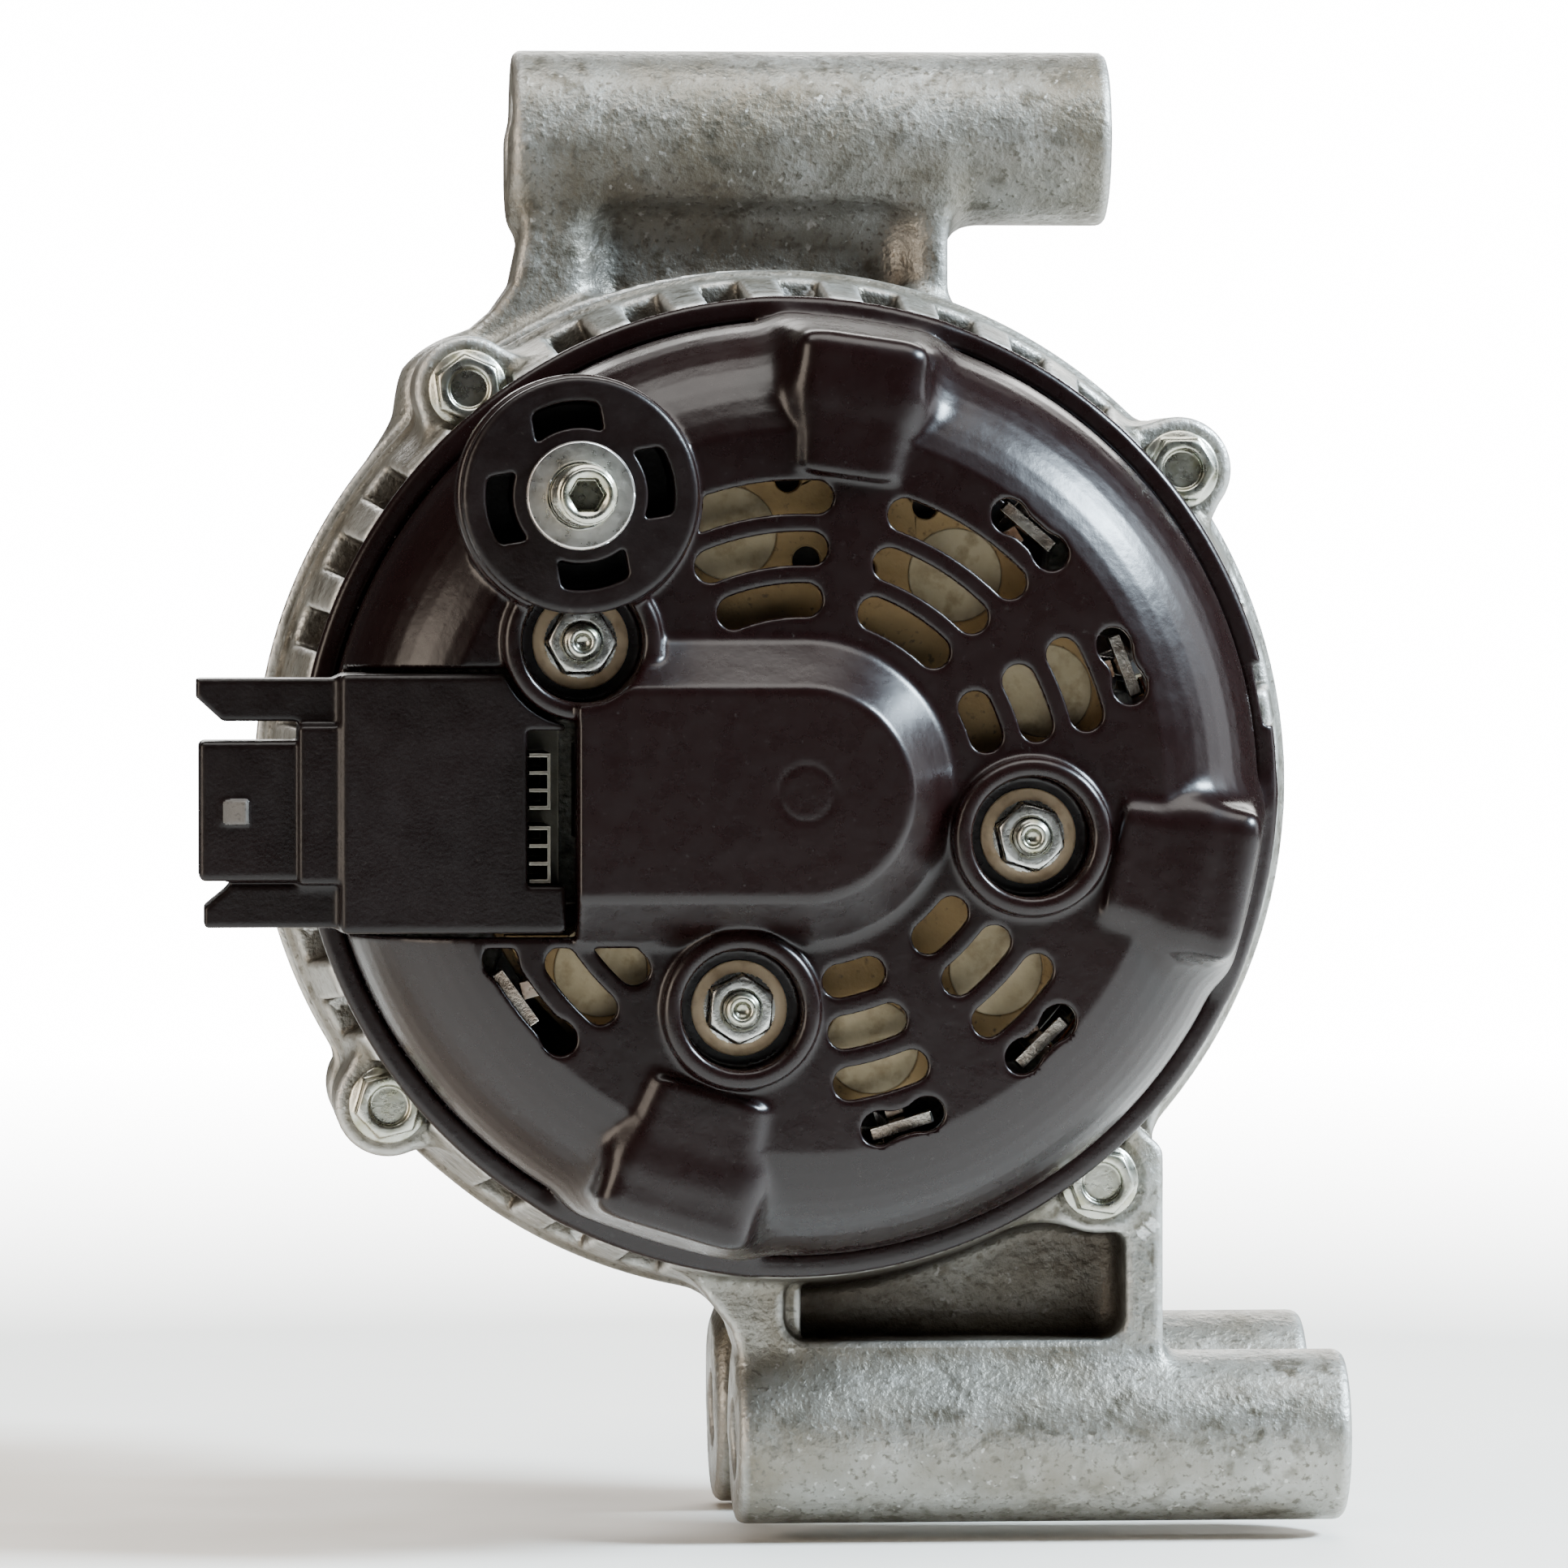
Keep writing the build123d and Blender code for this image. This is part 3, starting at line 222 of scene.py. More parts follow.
def surface(name, g, field):
    """Mesh object of a field's zero level by surface nets, with field normals."""
    field = np.broadcast_to(field, g.shape).astype(np.float32)
    solid = field < 0
    nx, nd, nz = (n - 1 for n in g.shape)
    count = sum(solid[i:nx + i, j:nd + j, k:nz + k].astype(np.int8) for i, j, k in CORNERS)
    mixed = (count > 0) & (count < len(CORNERS))
    cells = np.argwhere(mixed)
    index = np.full(mixed.shape, -1, np.int32)
    index[mixed] = np.arange(len(cells))
    total = np.zeros((len(cells), 3))
    hits = np.zeros(len(cells))
    for a, b in CELL_EDGES:
        pa, pb = cells + np.array(a), cells + np.array(b)
        fa = field[pa[:, 0], pa[:, 1], pa[:, 2]]
        fb = field[pb[:, 0], pb[:, 1], pb[:, 2]]
        crossed = (fa < 0) != (fb < 0)
        t = np.where(crossed, fa / np.where(crossed, fa - fb, 1), 0)[:, None]
        total += np.where(crossed[:, None], np.array(a) + t * (np.array(b) - np.array(a)), 0)
        hits += crossed
    places = cells + total / hits[:, None]
    quads = []
    for axis in range(3):
        lower = [slice(1, n - 1) for n in g.shape]
        upper = list(lower)
        lower[axis] = slice(0, g.shape[axis] - 1)
        upper[axis] = slice(1, g.shape[axis])
        here, there = solid[tuple(lower)], solid[tuple(upper)]
        spots = np.argwhere(here != there)
        spots += np.array([0 if k == axis else 1 for k in range(3)])
        u, v = (axis + 1) % 3, (axis + 2) % 3
        ring = []
        for du, dv in ((1, 1), (0, 1), (0, 0), (1, 0)):
            near = spots.copy()
            near[:, u] -= du
            near[:, v] -= dv
            ring.append(index[near[:, 0], near[:, 1], near[:, 2]])
        ring = np.stack(ring, 1)
        flip = ~here[here != there]
        ring[flip] = ring[flip][:, ::-1]
        quads.append(ring)
    quads = np.concatenate(quads)
    normals = np.stack([sample(part, places) for part in np.gradient(field)], 1)
    normals /= np.linalg.norm(normals, axis=1)[:, None] + 1e-9
    points = (places * g.step + g.low) * MM
    points[:, 1] -= BELT_DEPTH * MM
    mesh = bpy.data.meshes.new(name)
    mesh.vertices.add(len(points))
    mesh.vertices.foreach_set("co", points.ravel())
    mesh.loops.add(quads.size)
    mesh.loops.foreach_set("vertex_index", quads.ravel())
    mesh.polygons.add(len(quads))
    mesh.polygons.foreach_set("loop_start", np.arange(0, quads.size, 4))
    mesh.update(calc_edges=True)
    mesh.validate()
    mesh.shade_smooth()
    mesh.normals_split_custom_set_from_vertices(normals.tolist())
    piece = bpy.data.objects.new(name, mesh)
    bpy.context.scene.collection.objects.link(piece)
    return piece


def place(piece, body, slot, finish, *nodes):
    """Ride a finished piece on its body in the place of its CAD nodes."""
    piece.data.materials.clear()
    piece.data.materials.append(finish)
    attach(piece, body)
    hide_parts(*nodes)
    return piece


# ---------------------------------------------------------------- rear cover
GRILLE = -25.0
WALL = 2.2
DOME_TOP, DOME_BASE_R, DOME_TOP_R, DOME_LEFT = -32.0, 20.2, 13.9, -30.0
LOBE_TOP, LOBE_OUT = -26.4, 61.0
LOBES = ({"angle": 82.0, "start": 42.0, "inner": 7.0, "outer": 9.2},
         {"angle": -12.3, "start": 42.0, "inner": 8.3, "outer": 10.5},
         {"angle": -107.0, "start": 41.0, "inner": 8.3, "outer": 10.9})
STUDS = ((-29.2, 19.9), (30.2, -5.9), (-8.2, -28.6))
STUD_TIP, WELL_FLOOR, WELL_R, WELL_RIM_R = -28.4, -21.0, 8.0, 10.5
POST, POST_TIP, POST_WELL_R = (-29.9, 39.1), -53.94, 14.2
SLOT_RINGS, SLOT_WIDTH = (25.4, 32.2, 39.0), 4.4
SLOT_SECTORS = ((84, 116), (42, 73), (12, 31), (-54, -34), (-84, -65), (212, 230))
LEAD_WINDOWS = ((41, 56), (15, 28), (-53, -39), (-80, -66), (206, 228))
LEAD_RING, LEAD_WINDOW_WIDTH, LEAD_EAR_R = 45.6, 3.4, 2.3
GATE_MARK_R = 3.65                                 # faint ring in the middle of the dome


def bell(g, edge, shoulder, foot, face, closing):
    """Flat face, one round shoulder, then the closing points."""
    arc = arc_points((edge, face), shoulder, foot, 14)
    return revolved(g, [(0, face)] + arc + closing + [(0, closing[-1][1])])


def lobe(g, size, shrink, edge):
    """Box-shaped bulge over one group of winding joints."""
    u, v = turned_about(g, size["angle"])
    start, end = size["start"] + shrink, LOBE_OUT - shrink
    slope = (size["outer"] - size["inner"]) / (end - start)
    side = np.abs(v) - (size["inner"] - shrink) - slope * (u - start)
    body = meet(side, LOBE_TOP + shrink - g.D, 3 * edge)
    body = meet(body, start - u, edge)
    return np.maximum(meet(body, u - end, 3 * edge), g.D - 8)


def dome(g, base, start, top):
    """Round-ended dome with a bevelled side, open towards the left."""
    flat = np.where(g.X < 0, np.abs(g.Z), g.R) - base
    rise, run = GRILLE - DOME_TOP, DOME_BASE_R - DOME_TOP_R
    bevel = (flat * rise + (start - g.D) * run) / math.hypot(rise, run)
    body = np.maximum(meet(bevel, top - g.D, 0.55), DOME_LEFT - g.X)
    return np.maximum(body, g.D - start - 1)


def build_cover():
    g = Grid((-67, -33, -67), (67, 4.4, 67), 0.45)
    cover = bell(g, 48, (57.8, -18.2), (62.1, 0.4), GRILLE,
                 [(62.9, 0.4), (62.9, -0.8), (63.3, -1.2), (65.4, -1.2), (66, -0.6), (66, 3.2)])
    rise = np.clip((g.R - 47) / 8, 0, 1)
    flare = 0.9 + 5.1 * rise * rise * (3 - 2 * rise)
    for size in LOBES:
        cover = join(cover, lobe(g, size, 0, 1.1), flare)
    cover = join(cover, dome(g, DOME_BASE_R, GRILLE, DOME_TOP), 0.8)
    cover = cut(cover, np.hypot(g.R - GATE_MARK_R, g.D - DOME_TOP) - 0.2, 0.3)
    cover = np.maximum(cover, g.D - COVER_SKIRT)
    hollow = bell(g, 46.8, (56.0, -16.8), (59.9, 0.4), GRILLE + WALL, [(59.9, 6)])
    for size in LOBES:
        hollow = join(hollow, lobe(g, size, WALL, 0.5), 1.0)
    inner = dome(g, DOME_BASE_R - 1.8, GRILLE + WALL, DOME_TOP + 2)
    hollow = join(hollow, np.maximum(inner, DOME_LEFT + 2 - g.X), 0.6)
    cover = cut(cover, hollow, 0.3)
    for x, z in STUDS:
        rim = disc(g, WELL_RIM_R, -28.5, -19, x, z, 1.1)
        cover = join(cover, rim, 1.0)
    cover = join(cover, disc(g, 16, -30, -22, *POST, 0.8), 0.8)
    # The shoulder falls away beside the battery post, so its well has a wall there.
    outer_wall = np.maximum(disc(g, 15.4, -24, -6, *POST, 0.4), 50 - g.R)
    cover = join(cover, outer_wall, 0.8)
    for x, z in STUDS:
        cover = cut(cover, disc(g, WELL_R, -40, WELL_FLOOR, x, z, 0.2), 0.9)
        cover = cut(cover, disc(g, 2.75, -40, 0, x, z, 0.1))
    cover = cut(cover, disc(g, POST_WELL_R, -45, 0, *POST, 0.2), 0.4)
    slots = np.full((g.shape[0], 1, g.shape[2]), 1e3)
    for radius in SLOT_RINGS:
        for first, last in SLOT_SECTORS:
            slots = np.minimum(slots, arc_slot(g, radius, first, last, SLOT_WIDTH))
    for first, last in LEAD_WINDOWS:
        window = arc_slot(g, LEAD_RING, first, last, LEAD_WINDOW_WIDTH)
        slots = np.minimum(slots, window)
        for angle in (first + 3, last - 3):
            x, z = polar(LEAD_RING, angle)
            slots = join(slots, np.hypot(g.X - x, g.Z - z) - LEAD_EAR_R, 0.8)
    for x, z in STUDS:
        slots = np.maximum(slots, WELL_RIM_R - np.hypot(g.X - x, g.Z - z))
    slots = np.maximum(slots, 16.8 - np.hypot(g.X - POST[0], g.Z - POST[1]))
    slots = np.maximum(slots, DOME_BASE_R + 0.3 - np.where(g.X < 0, np.abs(g.Z), g.R))
    cover = cut(cover, slab(g, slots, GRILLE - 2, GRILLE + 4, 0.05), 0.35)
    bay = brick(g, (-75, DOME_LEFT), (-45, -7.4), (-19.0, 16.3), 0.3)
    bay = np.maximum(bay, WELL_RIM_R - np.hypot(g.X - STUDS[0][0], g.Z - STUDS[0][1]))
    cover = cut(cover, bay, 0.5)
    u, v = turned_about(g, 11)
    notch = np.maximum(np.maximum(64.6 - u, np.abs(v) - 4.2), np.abs(g.D - 1) - 4)
    return surface("rear_cover_moulding", g, cut(cover, notch, 0.2))


# ---------------------------------------------------------------- castings
BOLT_RING, LUG_R = 68.7, 7.2
BOLT_ANGLES = (38.6, 128.6, 218.6, 308.6)
LUG_FACE, REAR_JOINT, FRONT_JOINT = 8.0, 28.0, 48.0
TUBE_BORE = 5.25
UPPER_SPAN, UPPER_Z = (-34.7, 49.0), 89.8
LOWER_SPAN, LOWER_Z = (-6.5, 77.0), -89.0
FRONT_TUBES, REAR_TUBE = 60.0, 14.0                # depths of the tubes
VENTS, VENT_REACH = 39, 80.0
INLETS = ((0, 31), (41, 73), (83, 134), (210, 243), (265, 296), (304, 339))
SPOKES = 12


def lugs(g, radius):
    """Round body with four flared bolt lugs."""
    flat = g.R - radius
    for angle in BOLT_ANGLES:
        u, v = turned_about(g, angle)
        lug = np.hypot(u - BOLT_RING, v) - LUG_R
        neck = outline(u, v, [(44, -24), (44, 24), (63.5, 12.2), (BOLT_RING, LUG_R),
                              (BOLT_RING, -LUG_R), (63.5, -12.2)])
        flat = np.minimum(flat, join(lug, neck, 2))
    return flat


def vents(g, body, start, end, inner, width, keep_out):
    """Radial windows cut all round, apart from near the given angles."""
    here = np.degrees(np.arctan2(g.Z, g.X))
    pitch = 360 / VENTS
    nearest = np.floor(here / pitch) * pitch + pitch / 2
    off = np.radians(here - nearest)
    side = np.abs(g.R * np.sin(off)) - width / 2
    side = np.maximum(side, np.maximum(inner - g.R, g.R - VENT_REACH))
    for middle, half in keep_out:
        away = np.abs((nearest - middle + 180) % 360 - 180)
        side = np.where(away < half, 5.0, side)
    return cut(body, slab(g, side, start, end, 0.6), 0.9)


def bolt_holes(g, body, radius):
    for angle in BOLT_ANGLES:
        x, z = polar(BOLT_RING, angle)
        body = np.maximum(body, radius - np.hypot(g.X - x, g.Z - z))
    return body


def build_rear_housing():
    g = Grid((-78, -7, -102), (78.5, 29.5, 78), 0.6)
    body = revolved(g, [(0, 0), (59.4, 0), (59.4, 3.3), (66.4, 3.3), (69.4, 23.5), (70.3, 24.5),
                        (70.3, REAR_JOINT), (0, REAR_JOINT)])
    body = join(body, slab(g, lugs(g, 60), LUG_FACE, REAR_JOINT, 0.9), 1.6)
    web = outline(g.X, g.Z, [(-20, -40), (-20, -60), (-12.8, -66.5), (-7.3, -73.6), (-5.1, -80),
                             (-5.1, -89), (51.7, -89), (51.7, -44), (40, -40)])
    pocket = brick(g, (0, 46.5), (0, 20.5), (-75.4, -59.4), 3.4)
    web = cut(slab(g, web, LUG_FACE, 25.6, 1.0), pocket, 1.2)
    body = join(body, web, 2.0)
    body = join(body, brick(g, (0.5, 2.4), (10, 21), (-75, -60), 0.7), 1.2)
    body = join(body, bar(g, 11.65, *LOWER_SPAN, REAR_TUBE, LOWER_Z, 1.4), 3.0)
    body = cut(body, revolved(g, [(0, 5), (62.4, 5), (62.4, 22), (65, 22), (65, 31), (0, 31)]), 0.3)
    hub = revolved(g, [(0, -3), (19.5, -3), (21.5, 0), (21.5, 6), (20, 10.5), (0, 10.5)])
    body = join(body, hub, 1.6)
    for x, z in STUDS:
        body = join(body, disc(g, 6.2, -5, 3, x, z), 1.4)
    for z in (-10, 10):
        body = join(body, disc(g, 3.4, -5.5, 3, -20, z), 0.8)
    for z in (-12, 9):
        body = join(body, disc(g, 3.6, -3, 3, -47, z), 0.8)
    body = cut(body, disc(g, 12.5, -6, 1, edge=0.1), 0.3)
    body = np.maximum(body, -disc(g, 16, 0, 14, edge=0.1))
    for first, last in INLETS:
        body = cut(body, slab(g, arc_slot(g, 39.25, first, last, 24.5), -2, 7, 0.2), 0.8)
    keep = [(a, 9) for a in BOLT_ANGLES] + [(-66, 22), (-90, 12)]
    body = vents(g, body, 2.0, 21.2, 60.5, 5.4, keep)
    for angle in BOLT_ANGLES:
        body = cut(body, disc(g, 6.1, -2, LUG_FACE, *polar(BOLT_RING, angle), 0.2), 0.4)
    body = bolt_holes(g, body, 2.75)
    body = cut(body, bar(g, TUBE_BORE, -10, 80, REAR_TUBE, LOWER_Z), 0.8)
    return surface("rear_housing_casting", g, body)


def build_front_housing():
    g = Grid((-78, 45.5, -103.5), (78.5, 86, 103.5), 0.65)
    body = revolved(g, [(0, FRONT_JOINT), (71, FRONT_JOINT), (71, 51.5), (69.6, 52.5), (67.6, 70),
                        (65.5, 74.5), (62.5, 77), (0, 77)])
    body = join(body, slab(g, lugs(g, 60), FRONT_JOINT, 62, 1.0), 2.0)
    arm = outline(g.X, g.Z, [(-53, 45), (-49.5, 57), (-44.5, 60.6), (-40.5, 63), (-37.6, 65.5),
                             (-35, 69.2), (-33.6, 76), (-33.6, 89), (26.1, 89), (26.1, 62),
                             (40, 50), (0, 40)])
    arm = slab(g, arm, 50, 70, 1.4)
    arm = cut(arm, brick(g, (-23.5, 20.5), (40, 54.5), (50, 82), 4.0), 4.5)
    body = join(body, arm, 3.0)
    body = join(body, bar(g, 12.2, *UPPER_SPAN, FRONT_TUBES, UPPER_Z, 1.2), 5.0)
    foot = outline(g.X, g.Z, [(-16, -45), (-10, -66), (-4.5, -76), (-4.5, -89), (54, -89),
                              (52.5, -72), (50.5, -45)])
    foot = slab(g, foot, 50, 70, 1.4)
    foot = cut(foot, brick(g, (4, 44), (60, 80), (-75, -50), 2.6), 2.0)
    body = join(body, foot, 3.0)
    body = join(body, bar(g, 13.25, *LOWER_SPAN, FRONT_TUBES, LOWER_Z, 1.5), 4.0)
    body = cut(body, revolved(g, [(0, 40), (65, 40), (65, 54), (62.8, 54), (62.8, 68), (59, 72.5),
                                  (0, 72.5)]), 0.4)
    hub = revolved(g, [(0, 68), (32.5, 68), (31, 77), (29, 82), (27, 84.5), (0, 84.5)])
    body = join(body, hub, 2.4)
    body = np.maximum(body, -disc(g, 23.5, 60, 82, edge=0.05))
    body = cut(body, disc(g, 14.5, 70, 95, edge=0.05), 0.8)
    for k in range(SPOKES):
        u, v = turned_about(g, 15 + 360 / SPOKES * k)
        window = outline(u, v, [(38, -4.2), (55, -8.6), (55, 8.6), (38, 4.2)]) - 1.5
        body = cut(body, slab(g, window, 70, 80, 0.1), 1.2)
    keep = [(a, 9) for a in BOLT_ANGLES] + [(-66, 24), (-86, 16), (100, 34)]
    body = vents(g, body, 56.5, 68.5, 61, 5.6, keep)
    body = bolt_holes(g, body, 2.5)
    body = cut(body, bar(g, TUBE_BORE, -40, 55, FRONT_TUBES, UPPER_Z), 0.8)
    body = cut(body, bar(g, TUBE_BORE, -10, 80, FRONT_TUBES, LOWER_Z), 0.8)
    return surface("front_housing_casting", g, body)


# ---------------------------------------------------------------- battery collar
def build_collar():
    """Round insulator under the battery cable, with four arc slots that stop on a closed floor, a dark
    sheet put there to keep the slots in shade.
    """
    x, z = POST
    g = Grid((x - 16.2, -37, z - 16.2), (x + 16.2, -16.8, z + 16.2), 0.3)
    off = np.hypot(g.X - x, g.Z - z)
    body = disc(g, 15.5, -36, -32.8, x, z, 0.9)
    body = join(body, disc(g, 8.7, -34, -17.5, x, z, 0.3), 0.6)
    body = join(body, disc(g, 13.9, -34, -23, x, z, 0.3), 0.5)
    hollow = disc(g, 12.3, -32.8, -24.5, x, z, 0.3)
    body = cut(body, np.maximum(hollow, 8.7 - off), 0.4)
    for k in range(4):
        u, v = turned_about(g, 90 * k + 10, x, z)
        bend = np.abs(np.hypot(u, v) - 10.6) - 1.75
        slot = rounded(bend, np.abs(v) - 4.5, 0.7)
        slot = np.maximum(slot, -u)
        # the slots stop at depth -24.5 on the floor, a sheet put there to keep them in shade
        body = cut(body, np.maximum(slot, g.D + 24.5), 0.25)
    return surface("battery_collar", g, np.maximum(body, 6.05 - off))


# ---------------------------------------------------------------- regulator block
def build_regulator():
    """Moulded block with its connector socket, latch ramp and guard fins."""
    g = Grid((-80.4, -29, -19.4), (-30.4, -7.2, 16.8), 0.32)
    body = brick(g, (-61, -31.4), (-28, -8), (-18.4, 15.7), 0.9)
    neck = brick(g, (-66.5, -58), (-27.2, -10.5), (-11.9, 9.0), 0.7)
    body = join(body, neck, 0.8)
    shell = brick(g, (-79.5, -64), (-26, -12), (-11.5, 6.9), 0.8)
    body = join(body, shell, 0.5)
    upper = outline(g.X, g.Z, [(-79.8, 15.1), (-79.8, 12.6), (-76.4, 9.5), (-58, 9.5), (-58, 15.1)])
    lower = outline(g.X, g.Z, [(-78.8, -17.7), (-78.8, -15.0), (-75.4, -12.2), (-58, -12.2),
                               (-58, -17.7)])
    body = join(body, slab(g, upper, -24, -12, 0.5), 1.4)
    body = join(body, slab(g, lower, -24, -12, 0.5), 1.4)
    rise = outline(g.X, g.D, [(-77, -25.9), (-73.2, -27.3), (-72.9, -25.4), (-77, -25.4)])
    ramp = rounded(rise, np.abs(g.Z + 2.4) - 1.6, 0.25)
    body = join(body, ramp, 0.3)
    body = cut(body, brick(g, (-36.5, -25), (-40, 0), (-12.2, 8.3), 0.5), 0.5)
    body = cut(body, brick(g, (-85, -68.5), (-24.5, -13.5), (-10, 5.4), 0.6), 0.3)
    body = cut(body, disc(g, 11.1, -40, 5, *STUDS[0], 0.2), 0.5)
    return surface("regulator_moulding", g, body)


# ---------------------------------------------------------------- fasteners
def thread_field(g, radius, pitch, start, end):
    """Bar with a helical thread and a chamfered outer end."""
    turn = np.arctan2(g.Z, g.X) / (2 * math.pi)
    phase = np.abs((g.D / pitch - turn) % 1.0 - 0.5) * 2
    skin = radius - 0.5 * pitch * np.clip(1.25 * phase - 0.15, 0, 1)
    body = (g.R - skin) * 0.7
    tip = (g.R - radius + 0.75 + (start - g.D)) * 0.7
    ends = np.maximum(start - g.D, g.D - end)
    return np.maximum(np.maximum(body, tip), ends)


def hex_field(g, flats):
    sides = []
    for k in range(3):
        angle = math.radians(60 * k + 30)
        sides.append(np.abs(g.X * math.cos(angle) + g.Z * math.sin(angle)) - flats / 2)
    return np.maximum(np.maximum(sides[0], sides[1]), sides[2])


def nut_form(g, flats, tall, flange):
    """Hex on a washer flange whose seat is at depth 0, chamfered at both ends."""
    hexagon = slab(g, hex_field(g, flats), -tall, -0.4, 0.15)
    cone = (g.R - flats * 0.5 + 0.1 - (g.D + tall) * 1.7) * 0.5
    hexagon = meet(hexagon, cone, 0.15)
    dish = (g.R - flange - (g.D + 0.55) * 2.2) * 0.42
    plate = meet(disc(g, flange, -1.2, 0, edge=0.35), dish, 0.3)
    return join(hexagon, plate, 0.5)


def build_nut():
    """M5 flange nut."""
    g = Grid((-6.8, -5.6, -6.8), (6.8, 0.4, 6.8), 0.16)
    body = nut_form(g, 8, 5.2, 6.4)
    body = cut(body, disc(g, 2.52, -8, 3, edge=0.05), 0.5)
    return surface("nut_form", g, body)


def build_stud():
    """M5 stud with a centre dimple, its outer end at depth 0."""
    g = Grid((-2.9, -0.4, -2.9), (2.9, 32.4, 2.9), 0.17)
    body = thread_field(g, 2.5, 0.8, 0, 32.3)
    return surface("stud_form", g, cut(body, np.hypot(g.R, g.D + 0.3) - 1.25, 0.3))


def build_bolt():
    """Flanged M5 bolt with a dished head, its seat at depth 0."""
    g = Grid((-5.8, -4.9, -5.8), (5.8, 51.8, 5.8), 0.2)
    head = nut_form(g, 8, 4.5, 5.4)
    head = cut(head, disc(g, 2.7, -8, -3.3, edge=0.3), 0.5)
    shank = disc(g, 2.45, -1, 51.4, edge=0.3)
    return surface("bolt_form", g, join(head, shank, 0.3))


def build_battery_stud():
    """M8 stud with a hex socket in its tip and its head at the far end, its tip at depth 0."""
    g = Grid((-7.7, -0.4, -7.7), (7.7, 43.4, 7.7), 0.19)
    body = thread_field(g, 4.0, 1.25, 0, 16.5)
    body = join(body, disc(g, 3.35, 0, 6, edge=0.3), 0.2)
    body = join(body, disc(g, 3.6, 12, 41, edge=0.3), 0.1)
    body = join(body, slab(g, hex_field(g, 13), 39.5, 43, 0.3), 0.3)
    socket = slab(g, hex_field(g, 4.2), -3, 3.2, 0.1)
    mouth = (g.R - 2.75 + g.D * 1.3) * 0.6
    return surface("battery_stud_form", g, cut(body, np.minimum(socket, mouth), 0.15))


def seated(form, name, x, depth, z, angle=0.0):
    """Copy of a form turned about the shaft direction and set in its place."""
    mesh = form.data.copy()
    place = Matrix.Translation((x * MM, (depth - BELT_DEPTH) * MM, z * MM))
    home = Matrix.Translation((0, BELT_DEPTH * MM, 0))
    mesh.transform(place @ Matrix.Rotation(math.radians(angle), 4, "Y") @ home)
    piece = bpy.data.objects.new(name, mesh)
    bpy.context.scene.collection.objects.link(piece)
    return piece


def seat_all(form, name, places, depth, twist):
    """One joined object holding a copy of a form at every place."""
    copies = [seated(form, name, x, depth, z, twist * k) for k, (x, z) in enumerate(places)]
    bpy.data.objects.remove(form)
    return joined(name, copies)


def joined(name, objects):
    with bpy.context.temp_override(active_object=objects[0], selected_objects=objects,
                                   selected_editable_objects=objects):
        bpy.ops.object.join()
    objects[0].name = name
    return objects[0]


# ---------------------------------------------------------------- brush springs
def build_spring(name, depth):
    """Compression spring behind one brush, with closed end turns."""
    wire, coil, turns, start, end = 0.3, 1.5, 6.5, -27.9, -17.05
    steps, sides = 30 * 7, 8
    points = []
    for k in range(steps + 1):
        part = k / steps
        lift = min(max((part - 0.09) / 0.82, 0), 1)
        angle = 2 * math.pi * turns * part
        centre = Vector((start + wire + (end - start - 2 * wire) * lift,
                         coil * math.cos(angle), coil * math.sin(angle)))
        out = Vector((0, math.cos(angle), math.sin(angle)))
        for side in range(sides):
            around = 2 * math.pi * side / sides
            points.append(centre + wire * (math.cos(around) * out
                                           + math.sin(around) * Vector((1, 0, 0))))
    faces = []
    for k in range(steps):
        for side in range(sides):
            a, b = k * sides + side, k * sides + (side + 1) % sides
            faces.append((a, b, b + sides, a + sides))
    last = steps * sides
    faces.append(tuple(reversed(range(sides))))
    faces.append(tuple(range(last, last + sides)))
    middle = Vector((0, depth - BELT_DEPTH, 0))
    mesh = bpy.data.meshes.new(name)
    mesh.from_pydata([(q + middle) * MM for q in points], [], faces)
    mesh.shade_smooth()
    piece = bpy.data.objects.new(name, mesh)
    bpy.context.scene.collection.objects.link(piece)
    return piece


